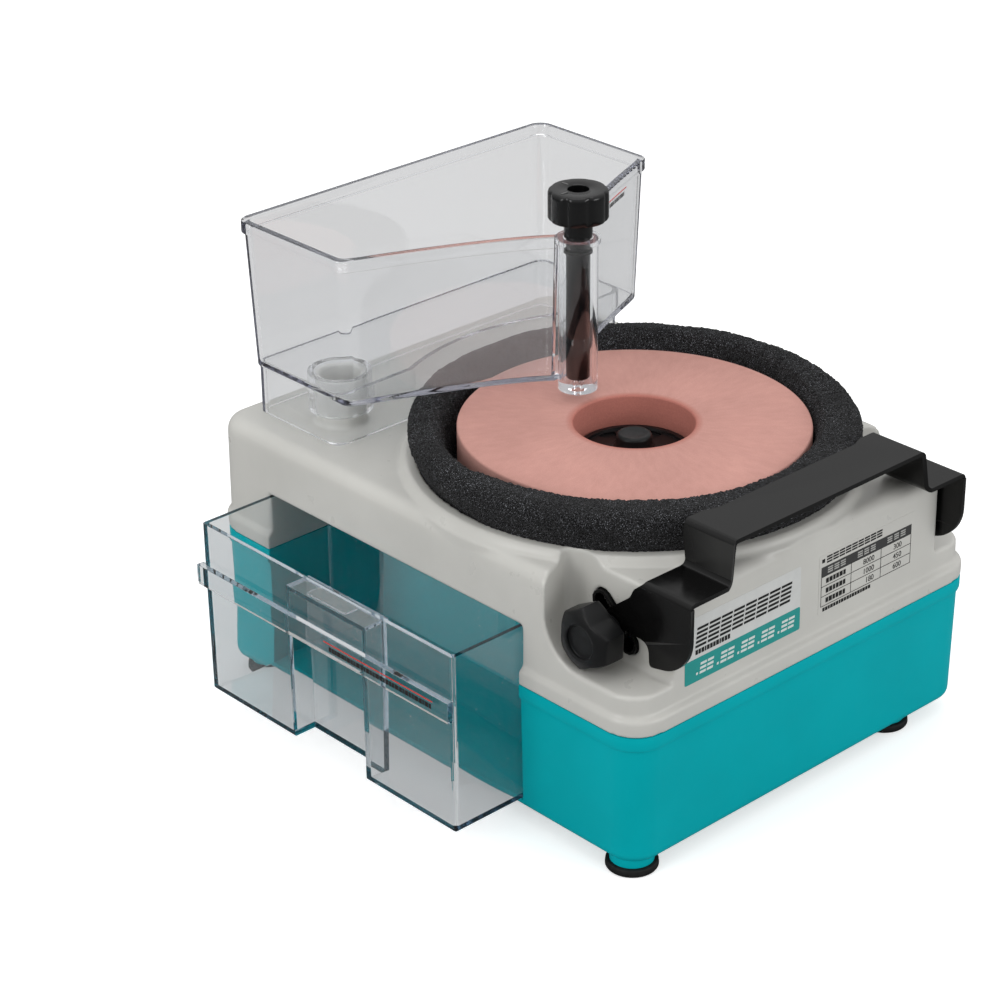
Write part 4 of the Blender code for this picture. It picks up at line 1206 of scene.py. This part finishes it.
def speed_label():
    """Table of grit and speed: a dark header, three ruled rows, a title above and a note below."""
    backing = label_film("speed_film", 5.6, 77.2, 97.8, 130.4, 1.0, grey_abs(), 0.0, 0.1)
    finish_piece(backing, "machine", "white_film", "speed_label")
    columns = (7.4, 29.5, 51.9, 74.7)
    rows = (102.2, 107.6, 113.0, 118.4, 123.8)
    thin = 0.28
    boxes = [(columns[0], columns[-1], z - thin / 2, z + thin / 2) for z in rows[:4]]
    boxes += [(x - thin / 2, x + thin / 2, rows[0], rows[3]) for x in columns]
    for k in range(9):
        for row in range(3):
            a = 11.0 + 4.65 * k
            b = 125.3 + 1.45 * row
            boxes.append((a, a + 4.0, b, b + 0.85))
    boxes.append((7.6, 9.6, 126.2, 128.2))
    boxes += word_bars(8.8, 45.0, 99.2, 1.9, (1.5, 1.7, 1.2, 1.8), 0.45)
    for k in range(3):
        boxes += word_bars(columns[0] + 3.5, columns[1] - 3.5, rows[k] + 1.3, 2.6, (1.9, 2.2, 1.7), 0.55)
    bm = bmesh.new()
    bars_mesh(bm, boxes, front_plane, 0.08)
    for k, (grit, speed) in enumerate((("180", "600"), ("1000", "450"), ("8000", "300"))):
        for text, x in ((grit, columns[2] - 5.0), (speed, columns[3] - 7.0)):
            flat, faces = number(text, x, rows[k] + 1.1, 3.0)
            add_flat(bm, flat, faces, 0.08)
    finish_piece(new_piece("speed_words", bm, ink()), "machine", "white_film")
    header = [(columns[0] - 0.14, columns[-1] + 0.14, rows[3] + 0.05, rows[4])]
    dark = film("header_ink", (0.045, 0.045, 0.045), 0.5)
    printed("speed_header", header, front_plane, 0.06, dark, "machine")
    heads = []
    for a, b in zip(columns, columns[1:]):
        for row in range(3):
            z = rows[3] + 1.2 + 1.2 * row
            middle = (a + b) / 2
            for start, stop in ((a + 4.5, a + 8.2), (middle - 1.8, middle + 1.8), (b - 8.2, b - 4.5)):
                heads.append((start, stop, z, z + 0.7))
    pale = film("pale_ink", (0.4, 0.4, 0.38), 0.5)
    printed("header_words", heads, front_plane, 0.1, pale, "machine")


def controls():
    """Speed dial with its pointer and scale, and the cord bush."""
    centre = (0.0, *DIAL)
    rings = [(4.0, 0.0, 131.5, 1.0), (4.0, 0.0, 123.4, 1.0), (12.6, 0.0, 123.4, 1.0),
             (13.4, 0.5, 123.8, 0.3), (13.4, 0.7, 125.6, 0.3), (12.4, 0.7, 135.4, 0.3),
             (11.9, 0.5, 136.6, 0.3), (11.2, 0.2, 137.1, 0.3), (10.4, 0.0, 137.2, 1.0)]
    dial = lobed_loft("dial_knob", "X", centre, rings, 20, 240, black_abs(), (124.0, *DIAL))
    finish_piece(smooth(dial, 40.0), "dial", "black_plastic", "speed_dial")

    def plane(a, b, out):
        return (137.1 + out, centre[1] + a, centre[2] + b)

    white = film("pointer_white", (0.6, 0.6, 0.6), 0.4)
    printed("dial_pointer", [(-0.6, 0.6, 3.0, 9.6)], plane, 0.1, white, "dial")

    def scale_plane(a, b, out):
        return (HALF_W - 2.9 + out, centre[1] + a, centre[2] + b)

    ticks = []
    for k, (y, z) in enumerate(arc(0.0, 0.0, 16.4, 225.0, -27.0, 11)):
        ticks.append((y - 0.45, y + 0.45, z - 0.45, z + 0.45 + 0.08 * k))
    printed("dial_ticks", ticks, scale_plane, 0.35, ink(), "machine")
    gland = turned("cord_bush", "Y", CORD_AT, (
        (3.6, 182.0), (6.0, 182.0), (6.0, 190.9), (9.6, 190.9), (10.0, 191.3), (10.0, 193.2), (9.5, 193.8),
        (8.4, 194.4), (7.4, 195.2), (6.6, 196.2), (6.0, 196.6), (4.1, 196.6), (3.6, 196.2)), rubber(), 64)
    finish_piece(smooth(gland, 40.0), "machine", "black_rubber", "cord_gland")


# ---- carried-over CAD nodes ---------------------------------------------------------
def carried_over():
    """The hidden mechanism and small hardware keep their CAD shapes and get finished surfaces."""
    by_name = {
        "control_pcb": circuit_board(), "heat_sink": alloy(), "turntable": alloy(),
        "bearing_housing": alloy(), "drive_belt": rubber(), "spindle_seal": rubber(),
        "tap_seal": rubber(), "motor_can": black_paint(), "switch_body": black_abs(),
        "terminal_block": film("terminal_white", (0.7, 0.7, 0.66), 0.4), "driven_pulley": black_abs(),
        "motor_pulley": black_abs(), "power_rocker": black_gloss(), "slot_plate_left": black_gloss(),
        "slot_plate_right": black_gloss()}
    for name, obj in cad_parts.items():
        if obj.hide_render:
            continue
        mat = by_name.get(name)
        if mat is None:
            mat = black_abs() if name.startswith("motor_standoff") else steel()
        obj.data.materials.clear()
        obj.data.materials.append(mat)


# ---- stage ------------------------------------------------------------------------
def camera():
    """Camera at the studio viewpoint: 42.5 degrees to the left of the front and 26.9 degrees above."""
    azimuth = radians(-42.48)
    height = radians(26.9)
    roll = radians(-0.68)
    level = cos(height)
    back = Vector((sin(azimuth) * level, -cos(azimuth) * level, sin(height)))
    right = (-back).cross(Vector((0, 0, 1))).normalized()
    up = right.cross(-back)
    across = cos(roll) * right + sin(roll) * up
    upward = -sin(roll) * right + cos(roll) * up
    data = bpy.data.cameras.new("camera")
    data.sensor_width = 36.0
    data.lens = 101.92
    data.clip_start = 0.05
    obj = bpy.data.objects.new("camera", data)
    at = Vector((SX - 924.9, SY - 908.7, STONE_TOP + 613.0)) * MM
    rows = [(across[k], upward[k], back[k], at[k]) for k in range(3)]
    obj.matrix_world = Matrix(rows + [(0, 0, 0, 1)])
    bpy.context.scene.collection.objects.link(obj)
    bpy.context.scene.camera = obj


def area_light(name, at, aim, size, energy):
    data = bpy.data.lights.new(name, "AREA")
    data.shape = "RECTANGLE"
    data.size, data.size_y = size
    data.energy = energy
    obj = bpy.data.objects.new(name, data)
    obj.location = at
    obj.rotation_euler = (Vector(aim) - Vector(at)).to_track_quat("-Z", "Y").to_euler()
    bpy.context.scene.collection.objects.link(obj)


def studio():
    """Soft white surroundings; mirror-like reflections see them darken towards the horizon."""
    scene = bpy.context.scene
    scene.world = bpy.data.worlds.new("studio")
    sky = Nodes(scene.world, "Generated")
    height = sky.add("ShaderNodeSeparateXYZ", {0: sky.place}, "Z")
    sky.finish({"Color": (1.0, 1.0, 1.0), "Strength": 0.72}, "Background")
    even = sky.tree.nodes["Background"].outputs[0]
    shaded = sky.ramp(height, (0.0, 0.42), (0.4, 0.72), (0.8, 1.0))
    dome = sky.add("ShaderNodeBackground", {"Color": shaded, "Strength": 0.85})
    sky.finish({"Surface": sky.by_ray("Glossy", even, dome)}, "World Output")
    scene.view_settings.view_transform = "Standard"
    for kind in ("max_bounces", "transmission_bounces", "glossy_bounces", "transparent_max_bounces"):
        setattr(scene.cycles, kind, 48)
    area_light("overhead", (0.05, 0.1, 1.3), (0.0, 0.0, 0.1), (0.9, 0.9), 2.6)
    area_light("left_key", (-1.3, 0.1, 0.7), (0.0, 0.0, 0.12), (0.5, 0.8), 5.0)
    area_light("front_fill", (0.5, -1.4, 0.7), (0.0, 0.0, 0.12), (0.9, 0.5), 5.8)


def floor():
    """Pale floor; the camera sees it brighter than reflections and the clear parts do."""
    size = 6.0
    cells = 24
    drop = -0.0002
    bm = bmesh.new()
    verts = {}
    for i in range(cells + 1):
        for j in range(cells + 1):
            x = size * (2.0 * i / cells - 1.0)
            y = size * (2.0 * j / cells - 1.0)
            verts[i, j] = bm.verts.new((x, y, drop))
    for i in range(cells):
        for j in range(cells):
            bm.faces.new((verts[i, j], verts[i + 1, j], verts[i + 1, j + 1], verts[i, j + 1]))
    mesh = bpy.data.meshes.new("floor")
    bm.to_mesh(mesh)
    bm.free()
    look = Nodes(bpy.data.materials.new("pale_floor"))
    look.tree.nodes.remove(look.tree.nodes["Principled BSDF"])

    def paper(grey, glow=0.0):
        sheet = look.add("ShaderNodeBsdfDiffuse", {"Color": (grey, grey, grey)})
        if glow == 0.0:
            return sheet
        shine = look.add("ShaderNodeEmission", {"Strength": glow})
        return look.add("ShaderNodeAddShader", {0: shine, 1: sheet})

    surface = look.by_ray("Glossy", paper(0.56), paper(0.28))
    surface = look.by_ray("Transmission", surface, paper(0.34, 0.42))
    surface = look.by_ray("Camera", surface, paper(0.86, 0.5))
    mesh.materials.append(look.finish({"Surface": surface}, "Material Output"))
    obj = bpy.data.objects.new("floor", mesh)
    bpy.context.scene.collection.objects.link(obj)


camera()
base_shell()
cover_shell()
feet()
foam_ring()
stone()
drawer()
drawer_print()
tank()
tank_print()
tap()
tool_rest()
clamp_knobs()
name_label()
speed_label()
controls()
carried_over()
studio()
floor()
